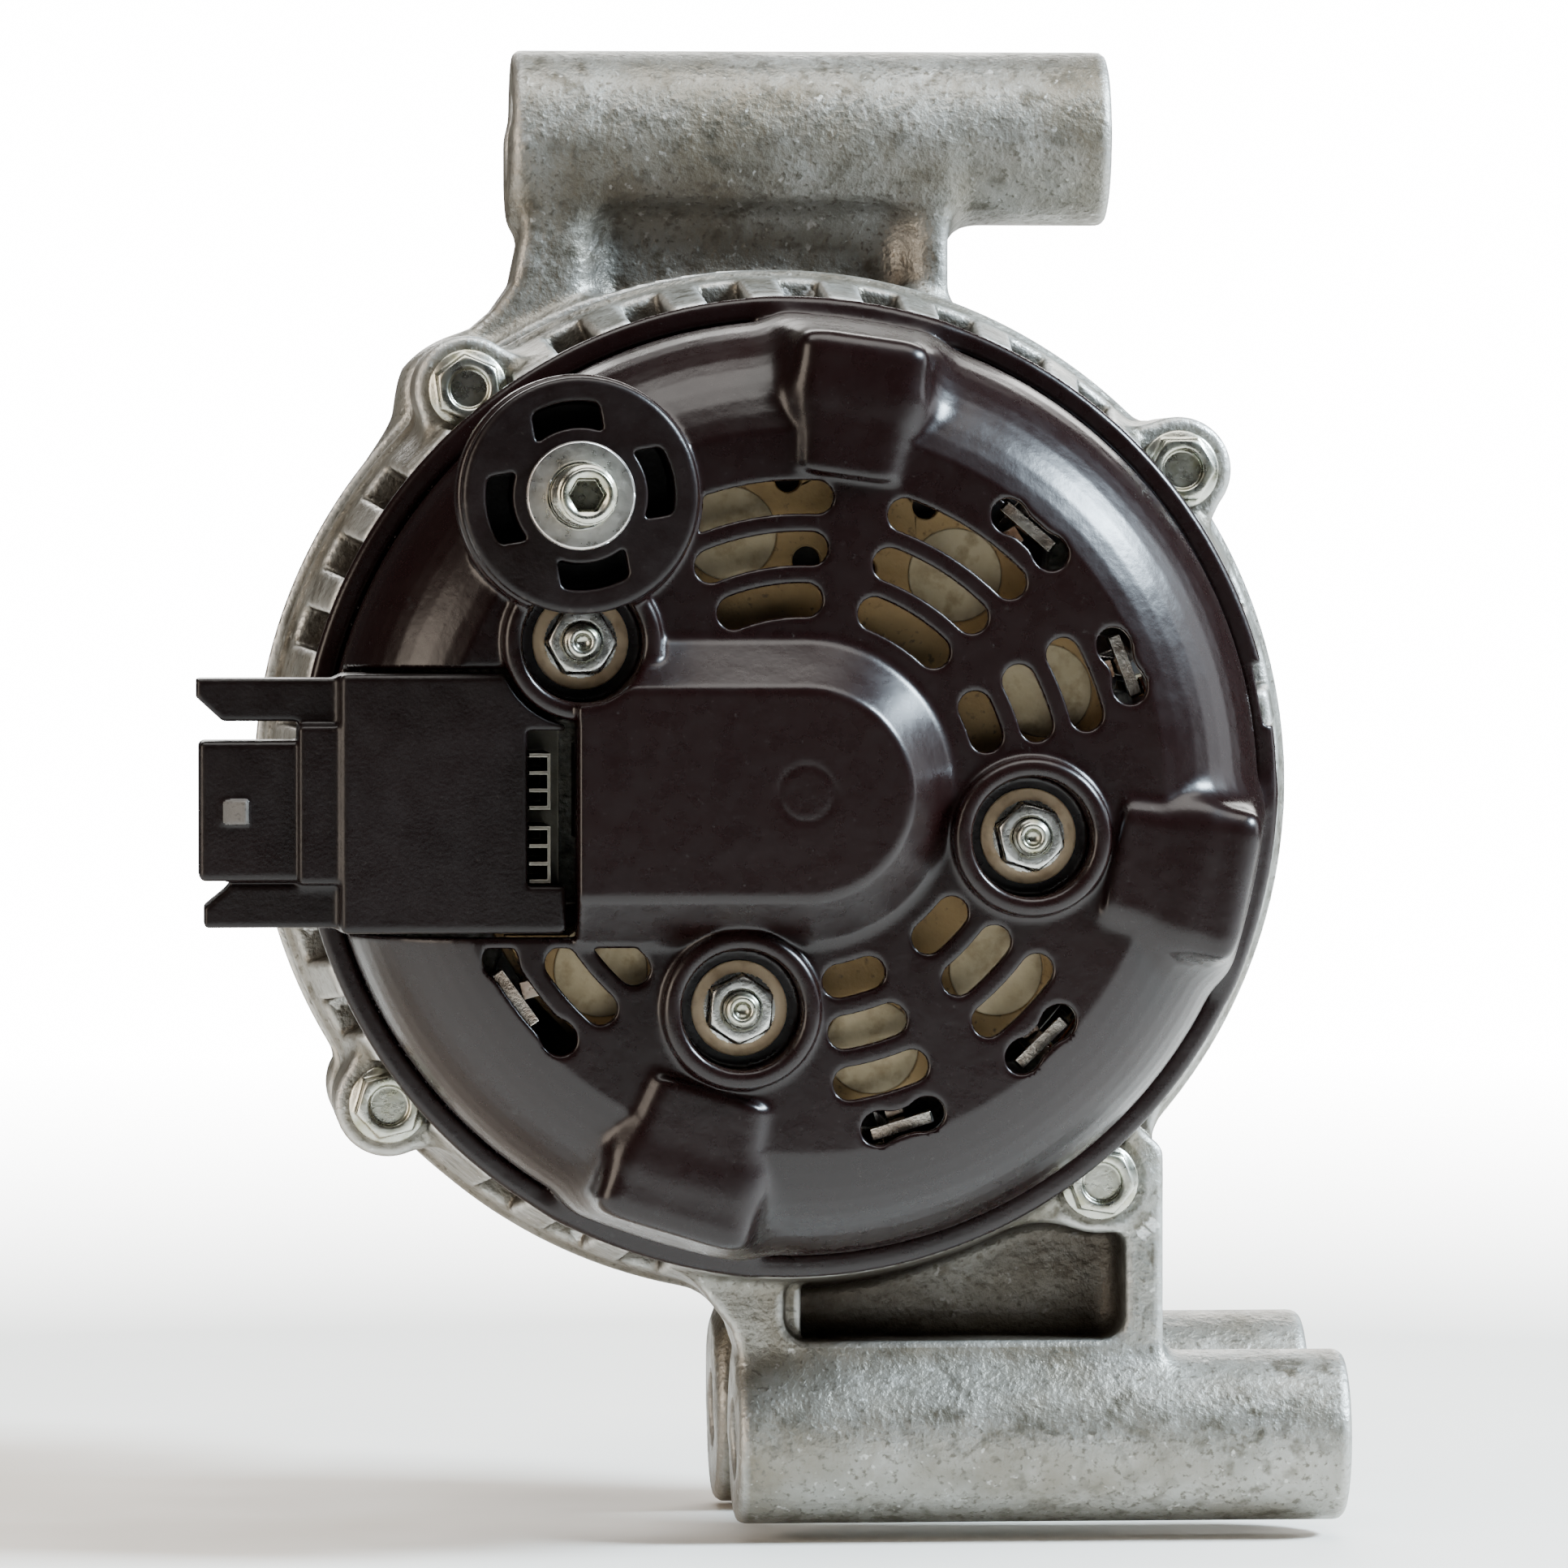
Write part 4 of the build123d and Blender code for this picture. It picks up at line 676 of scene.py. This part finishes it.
# ---------------------------------------------------------------- finishes
class Finish:
    """Principled material whose patterns are fixed to the piece, in millimetres."""

    def __init__(self, name, metallic, **inputs):
        self.material = bpy.data.materials.new(name)
        self.material.use_nodes = True
        self.tree = self.material.node_tree
        self.shader = self.tree.nodes["Principled BSDF"]
        self.set(self.shader, Metallic=metallic, **inputs)
        self.place = self.node("ShaderNodeTexCoord").outputs["Object"]
        self.shape = self.node("ShaderNodeNewGeometry")

    def set(self, node, **inputs):
        for key, value in inputs.items():
            node.inputs[key.replace("_", " ")].default_value = value

    def node(self, kind, **settings):
        made = self.tree.nodes.new(kind)
        for key, value in settings.items():
            setattr(made, key, value)
        return made

    def link(self, source, target):
        self.tree.links.new(source, target)

    def noise(self, size, detail=3.0, stretch=(1, 1, 1), rough=0.55):
        """Soft noise with features about that many millimetres across."""
        scaled = self.node("ShaderNodeMapping")
        self.set(scaled, Scale=[1000 / size / k for k in stretch])
        self.link(self.place, scaled.inputs["Vector"])
        made = self.node("ShaderNodeTexNoise")
        self.set(made, Scale=1.0, Detail=detail, Roughness=rough)
        self.link(scaled.outputs["Vector"], made.inputs["Vector"])
        return made.outputs["Fac"]

    def fade(self, value, low, high, start=0.0, end=1.0):
        """Map a value from low..high onto start..end, held at both ends."""
        made = self.node("ShaderNodeMapRange")
        self.set(made, From_Min=low, From_Max=high, To_Min=start, To_Max=end)
        self.link(value, made.inputs["Value"])
        return made.outputs["Result"]

    def times(self, a, b):
        made = self.node("ShaderNodeMath", operation="MULTIPLY")
        self.link(a, made.inputs[0])
        self.link(b, made.inputs[1])
        return made.outputs[0]

    def blend(self, factor, first, second):
        """Colour between two colours or colour outputs."""
        made = self.node("ShaderNodeMix", data_type="RGBA")
        self.link(factor, made.inputs["Factor"])
        for socket, colour in ((made.inputs[6], first), (made.inputs[7], second)):
            if isinstance(colour, tuple):
                socket.default_value = (*colour, 1)
            else:
                self.link(colour, socket)
        return made.outputs[2]

    def recess(self, reach):
        """1 deep in a recess and 0 in the open; the mask for painted shade."""
        made = self.node("ShaderNodeAmbientOcclusion", samples=8, only_local=True)
        self.set(made, Distance=reach * MM)
        return self.fade(made.outputs["AO"], 0.88, 0.3)

    def edges(self, width):
        """1 along sharp edges and 0 on flat faces."""
        made = self.node("ShaderNodeBevel", samples=4)
        self.set(made, Radius=width * MM)
        dot = self.node("ShaderNodeVectorMath", operation="DOT_PRODUCT")
        self.link(made.outputs["Normal"], dot.inputs[0])
        self.link(self.shape.outputs["Normal"], dot.inputs[1])
        return self.fade(dot.outputs["Value"], 0.99, 0.86)

    def crests(self, low=0.505, high=0.56):
        """1 on the convex edges of a finely meshed piece."""
        return self.fade(self.shape.outputs["Pointiness"], low, high)

    def bump(self, layers):
        """Relief from (height output, depth in millimetres) layers."""
        normal = None
        for height, depth in layers:
            made = self.node("ShaderNodeBump")
            self.set(made, Strength=1.0, Distance=depth * MM)
            self.link(height, made.inputs["Height"])
            if normal:
                self.link(normal, made.inputs["Normal"])
            normal = made.outputs["Normal"]
        self.link(normal, self.shader.inputs["Normal"])

    def done(self, colour, roughness):
        self.link(colour, self.shader.inputs["Base Color"])
        self.link(roughness, self.shader.inputs["Roughness"])
        return self.material


def cast_aluminium():
    """Weathered die casting: mottled grey, brown patina, sandy skin, bright edges, dark brown painted
    shade in recesses.
    """
    f = Finish("cast_aluminium", 0.72)
    patina = f.fade(f.noise(22, 5, rough=0.62), 0.44, 0.66)
    colour = f.blend(f.fade(f.noise(9, 4), 0.3, 0.7), (0.34, 0.335, 0.31), (0.215, 0.21, 0.185))
    colour = f.blend(patina, colour, (0.175, 0.155, 0.12))
    mottle = f.fade(f.noise(2.6, 3), 0.5, 0.66)
    colour = f.blend(f.times(mottle, f.fade(f.noise(14, 2), 0.35, 0.6)), colour,
                     (0.10, 0.09, 0.07))
    colour = f.blend(f.fade(f.noise(0.9, 2), 0.56, 0.7), colour, (0.12, 0.11, 0.09))
    colour = f.blend(f.fade(f.noise(1.5, 2), 0.66, 0.75), colour, (0.46, 0.45, 0.42))
    # painted shade: dark brown deep in recesses and hollows, partly patina
    colour = f.blend(f.recess(18), colour, (0.038, 0.027, 0.018))
    colour = f.blend(f.crests(0.512, 0.56), colour, (0.58, 0.575, 0.55))
    f.bump([(f.noise(3.4, 4), 0.35), (f.noise(0.9, 3), 0.2)])
    return f.done(colour, f.fade(f.noise(5, 4), 0.3, 0.7, 0.38, 0.56))


def cover_plastic():
    """Glossy brown-black moulding with light dust and rubbed edges."""
    f = Finish("cover_plastic", 0.0, Specular_IOR_Level=0.36)
    colour = f.blend(f.fade(f.noise(30, 4), 0.35, 0.7), (0.0046, 0.0008, 0.0008),
                     (0.0066, 0.0018, 0.0016))
    colour = f.blend(f.fade(f.noise(0.8, 2), 0.68, 0.8), colour, (0.018, 0.014, 0.013))
    colour = f.blend(f.crests(0.56, 0.66), colour, (0.010, 0.007, 0.007))
    f.bump([(f.noise(7, 3), 0.12), (f.noise(0.5, 2), 0.012)])
    return f.done(colour, f.fade(f.noise(3, 4), 0.3, 0.7, 0.25, 0.31))


def block_plastic():
    """Glass-filled brown-black plastic with a low sheen."""
    f = Finish("block_plastic", 0.0, Specular_IOR_Level=0.28)
    colour = f.blend(f.fade(f.noise(16, 4), 0.35, 0.7), (0.0030, 0.0007, 0.0007),
                     (0.0046, 0.0016, 0.0015))
    colour = f.blend(f.fade(f.noise(0.7, 2), 0.66, 0.78), colour, (0.011, 0.008, 0.007))
    colour = f.blend(f.crests(0.53, 0.6), colour, (0.016, 0.012, 0.011))
    f.bump([(f.noise(0.6, 3), 0.045)])
    return f.done(colour, f.fade(f.noise(4, 3), 0.3, 0.7, 0.3, 0.4))


def metal(name, light, dark, low, high, grain, lines=(1, 1, 1), edge=None, stain_and_shade=None,
          bare=1.0):
    """Bare or plated metal with tone changes, stains, painted shade in recesses, fine grain, and edges
    that are rubbed on most finishes and painted with a highlight or a shadow line on some.
    """
    f = Finish(name, bare)
    colour = f.blend(f.fade(f.noise(6, 4), 0.32, 0.68), light, dark)
    if stain_and_shade:
        colour = f.blend(f.fade(f.noise(2.6, 4), 0.5, 0.72), colour, stain_and_shade)
        # painted shade: a darker tone of the stain colour deep in recesses
        colour = f.blend(f.recess(3), colour, tuple(0.35 * c for c in stain_and_shade))
    if edge:
        # edge colour: rubbed edges on most metals, a painted highlight on fin_metal and a painted
        # shadow line on diode_metal
        colour = f.blend(f.edges(0.35), colour, edge)
    f.bump([(f.noise(grain, 3, lines), 0.03), (f.noise(3.5, 3), 0.05)])
    return f.done(colour, f.fade(f.noise(1.6, 4), 0.3, 0.7, low, high))


def dull(name, light, dark, low, high, grain, relief, **inputs):
    """Non-metal finish with mottling, grain and paler edges."""
    f = Finish(name, 0.0, **inputs)
    colour = f.blend(f.fade(f.noise(5, 4), 0.3, 0.7), light, dark)
    colour = f.blend(f.fade(f.noise(grain * 2.4, 3), 0.56, 0.7), colour,
                     tuple(0.55 * c for c in dark))
    colour = f.blend(f.edges(0.3), colour, tuple(min(1.3 * c, 1) for c in light))
    f.bump([(f.noise(grain, 3), relief)])
    return f.done(colour, f.fade(f.noise(3, 3), 0.3, 0.7, low, high))


def tan_plate():
    """Dusty gold-tan plate of the rectifier, with painted shadow lines along its edges."""
    f = Finish("tan_plate", 0.25)
    colour = f.blend(f.fade(f.noise(7, 4), 0.35, 0.68), (0.38, 0.245, 0.105), (0.28, 0.175, 0.07))
    colour = f.blend(f.fade(f.noise(1.2, 3), 0.6, 0.72), colour, (0.15, 0.09, 0.04))
    # painted shadow lines: dark along the edges, round the diodes' holes too
    colour = f.blend(f.edges(0.4), colour, (0.05, 0.036, 0.024))
    f.bump([(f.noise(0.7, 3), 0.06)])
    return f.done(colour, f.fade(f.noise(3, 3), 0.3, 0.7, 0.45, 0.6))


def laminations():
    """Edge of the stacked sheets, varnished, with a line at every sheet."""
    f = Finish("lamination_steel", 0.85)
    colour = f.blend(f.fade(f.noise(8, 4), 0.35, 0.7), (0.30, 0.29, 0.28), (0.19, 0.17, 0.155))
    sheets = f.noise(0.5, 1, (60, 1, 60))
    colour = f.blend(f.fade(sheets, 0.5, 0.68), colour, (0.09, 0.08, 0.075))
    f.bump([(sheets, 0.12)])
    return f.done(colour, f.fade(f.noise(3, 3), 0.3, 0.7, 0.38, 0.55))


def finishes():
    """A finish for every material slot in the record, and some for single pieces."""
    return {
        "cast_aluminium": cast_aluminium(),
        "cover_plastic": cover_plastic(),
        "block_plastic": block_plastic(),
        "tan_plate": tan_plate(),
        "lamination_steel": laminations(),
        "zinc_steel": metal("zinc_steel", (0.55, 0.545, 0.49), (0.40, 0.40, 0.33), 0.22, 0.36, 0.5,
                            edge=(0.78, 0.77, 0.72), stain_and_shade=(0.31, 0.30, 0.20)),
        "nut_hex": metal("nut_hex", (0.62, 0.62, 0.60), (0.46, 0.46, 0.44), 0.2, 0.34, 0.5,
                         edge=(0.85, 0.85, 0.82), stain_and_shade=(0.34, 0.33, 0.29)),
        "nut_flange": metal("nut_flange", (0.80, 0.62, 0.42), (0.66, 0.49, 0.31), 0.42, 0.55, 0.5,
                            edge=(0.85, 0.74, 0.58), stain_and_shade=(0.50, 0.35, 0.21), bare=0.25),
        "dark_steel": metal("dark_steel", (0.24, 0.24, 0.245), (0.15, 0.145, 0.14), 0.3, 0.45, 0.4,
                            edge=(0.45, 0.45, 0.45), stain_and_shade=(0.13, 0.10, 0.075)),
        "bare_copper": metal("bare_copper", (0.72, 0.60, 0.50), (0.66, 0.40, 0.26), 0.22, 0.4, 0.5,
                             edge=(0.85, 0.75, 0.66), stain_and_shade=(0.36, 0.20, 0.12)),
        "bearing_steel": metal("bearing_steel", (0.62, 0.62, 0.62), (0.52, 0.52, 0.53), 0.1, 0.2,
                               0.4, edge=(0.8, 0.8, 0.8)),
        "spring_steel": metal("spring_steel", (0.45, 0.45, 0.46), (0.33, 0.33, 0.33), 0.2, 0.32,
                              0.3, edge=(0.6, 0.6, 0.6)),
        # the dark edge colour is a painted shadow line round each diode's rim
        "diode_metal": metal("diode_metal", (0.50, 0.41, 0.27), (0.40, 0.32, 0.20), 0.42, 0.55, 0.6,
                             edge=(0.08, 0.06, 0.04), stain_and_shade=(0.30, 0.23, 0.14)),
        "pulley_steel": metal("pulley_steel", (0.052, 0.054, 0.058), (0.036, 0.037, 0.04), 0.34,
                              0.48, 0.8, (1, 0.2, 1), edge=(0.2, 0.2, 0.2)),
        "copper_enamel": dull("copper_enamel", (0.40, 0.135, 0.045), (0.25, 0.075, 0.028), 0.2,
                              0.34, 1.2, 0.03, Coat_Weight=0.4),
        "insulating_paper": dull("insulating_paper", (0.62, 0.53, 0.36), (0.50, 0.41, 0.26), 0.7,
                                 0.85, 0.5, 0.05),
        "seal_rubber": dull("seal_rubber", (0.028, 0.026, 0.025), (0.018, 0.017, 0.016), 0.55,
                            0.72, 0.5, 0.04),
        "tinned_copper": metal("tinned_copper", (0.78, 0.73, 0.66), (0.58, 0.47, 0.38), 0.16, 0.3,
                               0.4, edge=(0.95, 0.92, 0.88), stain_and_shade=(0.36, 0.24, 0.17)),
        "washer_steel": metal("washer_steel", (0.56, 0.54, 0.51), (0.42, 0.40, 0.38), 0.24, 0.38,
                              0.5, edge=(0.88, 0.86, 0.83), stain_and_shade=(0.30, 0.27, 0.24)),
        # painted highlight: lighter grey for the top of the latch ramp
        "latch_painted_highlight": dull("latch_painted_highlight", (0.11, 0.10, 0.092), (0.065, 0.06, 0.055), 0.5, 0.65, 0.4,
                           0.02),
        # the bright edge colour on these dark fins is a painted highlight
        "fin_metal": metal("fin_metal", (0.20, 0.185, 0.155), (0.12, 0.11, 0.09), 0.35, 0.5, 0.4,
                           edge=(0.62, 0.58, 0.5)),
        "resin": dull("resin", (0.055, 0.042, 0.034), (0.034, 0.026, 0.022), 0.35, 0.5, 0.7, 0.05),
        "carbon": dull("carbon", (0.045, 0.043, 0.042), (0.028, 0.027, 0.027), 0.35, 0.5, 0.3, 0.03),
    }


# ---------------------------------------------------------------- CAD nodes kept
# Nodes whose finish is not their slot's, and widths in millimetres of broken edges.
SPECIAL = {"regulator_heat_sink": "fin_metal", "stator_leads": "tinned_copper",
           "battery_stud_washer": "washer_steel"}
SOFTENED = {"positive_heat_sink": 0.25, "negative_heat_sink": 0.25, "positive_diodes": 0.35,
            "negative_diodes": 0.35, "stator_winding": 0.3, "stator_core": 0.2,
            "battery_stud_washer": 0.2, "pulley": 0.2, "pulley_nut": 0.35, "bus_bars": 0.15,
            "stator_leads": 0.3, "regulator_heat_sink": 0.1, "connector_pins": 0.1,
            "rotor_shaft": 0.3, "front_claw_pole": 0.4, "rear_claw_pole": 0.4, "front_fan": 0.2,
            "rear_fan": 0.2}


def soften(node, width):
    """Break the sharp edges of a CAD node with a small bevel."""
    weld = node.modifiers.new("weld", "WELD")
    weld.merge_threshold = 0.002 * MM
    bevel = node.modifiers.new("edge_break", "BEVEL")
    bevel.width = width * MM
    bevel.segments = 2
    bevel.limit_method = "ANGLE"
    bevel.angle_limit = math.radians(42)
    bevel.use_clamp_overlap = True
    bevel.harden_normals = True


def finish_nodes(made):
    """Give every CAD node the finish of its slot and break the edges in sight."""
    for part in frame["record"]["subparts"]:
        node = NODES[part["node"]]
        node.data.materials.clear()
        node.data.materials.append(made[SPECIAL.get(part["node"], part["material_slot"])])
        if part["node"] in SOFTENED:
            soften(node, SOFTENED[part["node"]])


# ---------------------------------------------------------------- the pieces
def tint(piece, finish, chosen):
    """Second finish on the faces whose centre, in millimetres, passes a test."""
    piece.data.materials.append(finish)
    for face in piece.data.polygons:
        x, y, z = (k / MM for k in face.center)
        face.material_index = int(chosen(x, y + BELT_DEPTH, z))


def on_flange(x, _, z):
    """On a cover nut's washer flange, whatever its depth."""
    return min(math.hypot(x - a, z - b) for a, b in STUDS) > 4.75


def on_latch(x, depth, z):
    """On the top of the connector's latch ramp, where a lighter colour paints a highlight."""
    return depth < -26.15 and -77.2 < x < -72.8 and abs(z + 2.4) < 1.8


def dress(made):
    """Put the shaped pieces in the place of their CAD nodes."""
    aluminium = made["cast_aluminium"]
    zinc = made["zinc_steel"]
    place(build_cover(), "frame", "cover_plastic", made["cover_plastic"], "rear_cover")
    place(build_rear_housing(), "frame", "cast_aluminium", aluminium, "rear_housing")
    place(build_front_housing(), "frame", "cast_aluminium", aluminium, "front_housing")
    place(build_collar(), "frame", "block_plastic", made["block_plastic"], "battery_stud_insulator")
    terminal = seat_all(build_battery_stud(), "battery_terminal_stud", (POST,), POST_TIP, 0)
    place(terminal, "frame", "zinc_steel", zinc, "battery_stud")
    block = build_regulator()
    place(block, "frame", "block_plastic", made["block_plastic"], "regulator")
    tint(block, made["latch_painted_highlight"], on_latch)
    nuts = seat_all(build_nut(), "flange_nuts", STUDS, WELL_FLOOR, 17)
    place(nuts, "frame", "zinc_steel", made["nut_hex"], "cover_nuts")
    tint(nuts, made["nut_flange"], on_flange)
    studs = seat_all(build_stud(), "threaded_studs", STUDS, STUD_TIP, 70)
    place(studs, "frame", "zinc_steel", zinc, "cover_studs")
    corners = [polar(BOLT_RING, angle) for angle in BOLT_ANGLES]
    place(seat_all(build_bolt(), "clamp_bolts", corners, LUG_FACE, 23), "frame", "zinc_steel", zinc,
          "through_bolts")
    for name, joint, depth in (("brush_spring_positive", "positive_brush_slide", -18),
                               ("brush_spring_negative", "negative_brush_slide", -10.5)):
        coil = build_spring(name + "_coil", depth)
        place(coil, "frame", "spring_steel", made["spring_steel"], name)
        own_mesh(coil)


# ---------------------------------------------------------------- studio
AMBIENT, BACKDROP = 0.04, 16.0                     # surround on the pieces, and behind them
FLOOR_HALF = 1.6                                   # metres
FLOOR_SOLID, FLOOR_GONE = 0.28, 1.1                # distances over which the floor thins out


def mesh_object(name, points, faces):
    mesh = bpy.data.meshes.new(name)
    mesh.from_pydata(points, [], faces)
    made = bpy.data.objects.new(name, mesh)
    bpy.context.scene.collection.objects.link(made)
    return made


def pale_floor():
    """Level floor under the lower tube that thins out into the pale surround."""
    level = cad_low.z - 0.0005
    corners = [(FLOOR_HALF * a, FLOOR_HALF * b, level) for a, b in ((-1, -1), (1, -1), (1, 1), (-1, 1))]
    floor = mesh_object("floor", corners, [(0, 1, 2, 3)])
    f = Finish("floor", 0.0)
    tone = f.blend(f.noise(60, 3), (0.86, 0.81, 0.74), (0.83, 0.78, 0.71))
    distance = f.node("ShaderNodeVectorMath", operation="LENGTH")
    f.link(f.place, distance.inputs[0])
    f.link(f.fade(distance.outputs["Value"], FLOOR_SOLID, FLOOR_GONE, 1, 0),
           f.shader.inputs["Alpha"])
    floor.data.materials.append(f.done(tone, f.fade(f.noise(40, 2), 0.3, 0.7, 0.6, 0.75)))


def soft_light(name, direction, distance, size, power, colour):
    """Rectangular lamp that faces the middle of the object."""
    light = bpy.data.lights.new(name, "AREA")
    light.shape = "RECTANGLE"
    light.size, light.size_y = size
    light.energy = power
    light.color = colour
    lamp = bpy.data.objects.new(name, light)
    aim = Vector(direction).normalized()
    lamp.location = (cad_low + cad_high) / 2 + aim * distance
    lamp.rotation_mode = "QUATERNION"
    lamp.rotation_quaternion = aim.to_track_quat("Z", "Y")
    bpy.context.scene.collection.objects.link(lamp)


def surround():
    """Near-white backdrop that lights the pieces only faintly, so the lamps shape them."""
    world = bpy.data.worlds.new("surround")
    world.use_nodes = True
    nodes, links = world.node_tree.nodes, world.node_tree.links
    ray = nodes.new("ShaderNodeLightPath")
    level = nodes.new("ShaderNodeMapRange")
    level.inputs["To Min"].default_value = AMBIENT
    level.inputs["To Max"].default_value = BACKDROP
    links.new(ray.outputs["Is Camera Ray"], level.inputs["Value"])
    links.new(level.outputs["Result"], nodes["Background"].inputs["Strength"])
    nodes["Background"].inputs["Color"].default_value = (1, 1, 1, 1)
    bpy.context.scene.world = world


def studio():
    pale_floor()
    soft_light("key_right", (0.76, -0.24, 0.60), 1.6, (0.5, 0.34), 124, (0.70, 0.86, 1.0))
    soft_light("side_right", (0.96, 0.06, 0.26), 1.5, (0.8, 1.0), 9, (0.90, 0.95, 1.0))
    soft_light("overhead", (-0.05, -0.24, 0.97), 1.6, (1.8, 1.0), 34, (1.0, 0.98, 0.94))
    soft_light("fill_left", (-0.90, -0.42, 0.12), 1.7, (0.9, 1.1), 22, (1.0, 0.86, 0.72))
    soft_light("behind", (0.1, 0.9, 0.45), 1.8, (1.2, 0.9), 30, (1.0, 0.98, 0.95))
    surround()


def camera():
    """Long lens on the rear cover, slightly to the left and above."""
    lens = bpy.data.cameras.new("camera")
    lens.lens, lens.sensor_width = 215, 36
    view = bpy.data.objects.new("camera", lens)
    view.location = (-0.0929, -1.3597, 0.0335)
    view.rotation_mode = "QUATERNION"
    view.rotation_quaternion = Vector((0.0732, 0.9970, -0.0262)).to_track_quat("-Z", "Y")
    bpy.context.scene.collection.objects.link(view)
    bpy.context.scene.camera = view


made = finishes()
finish_nodes(made)
dress(made)
studio()
camera()
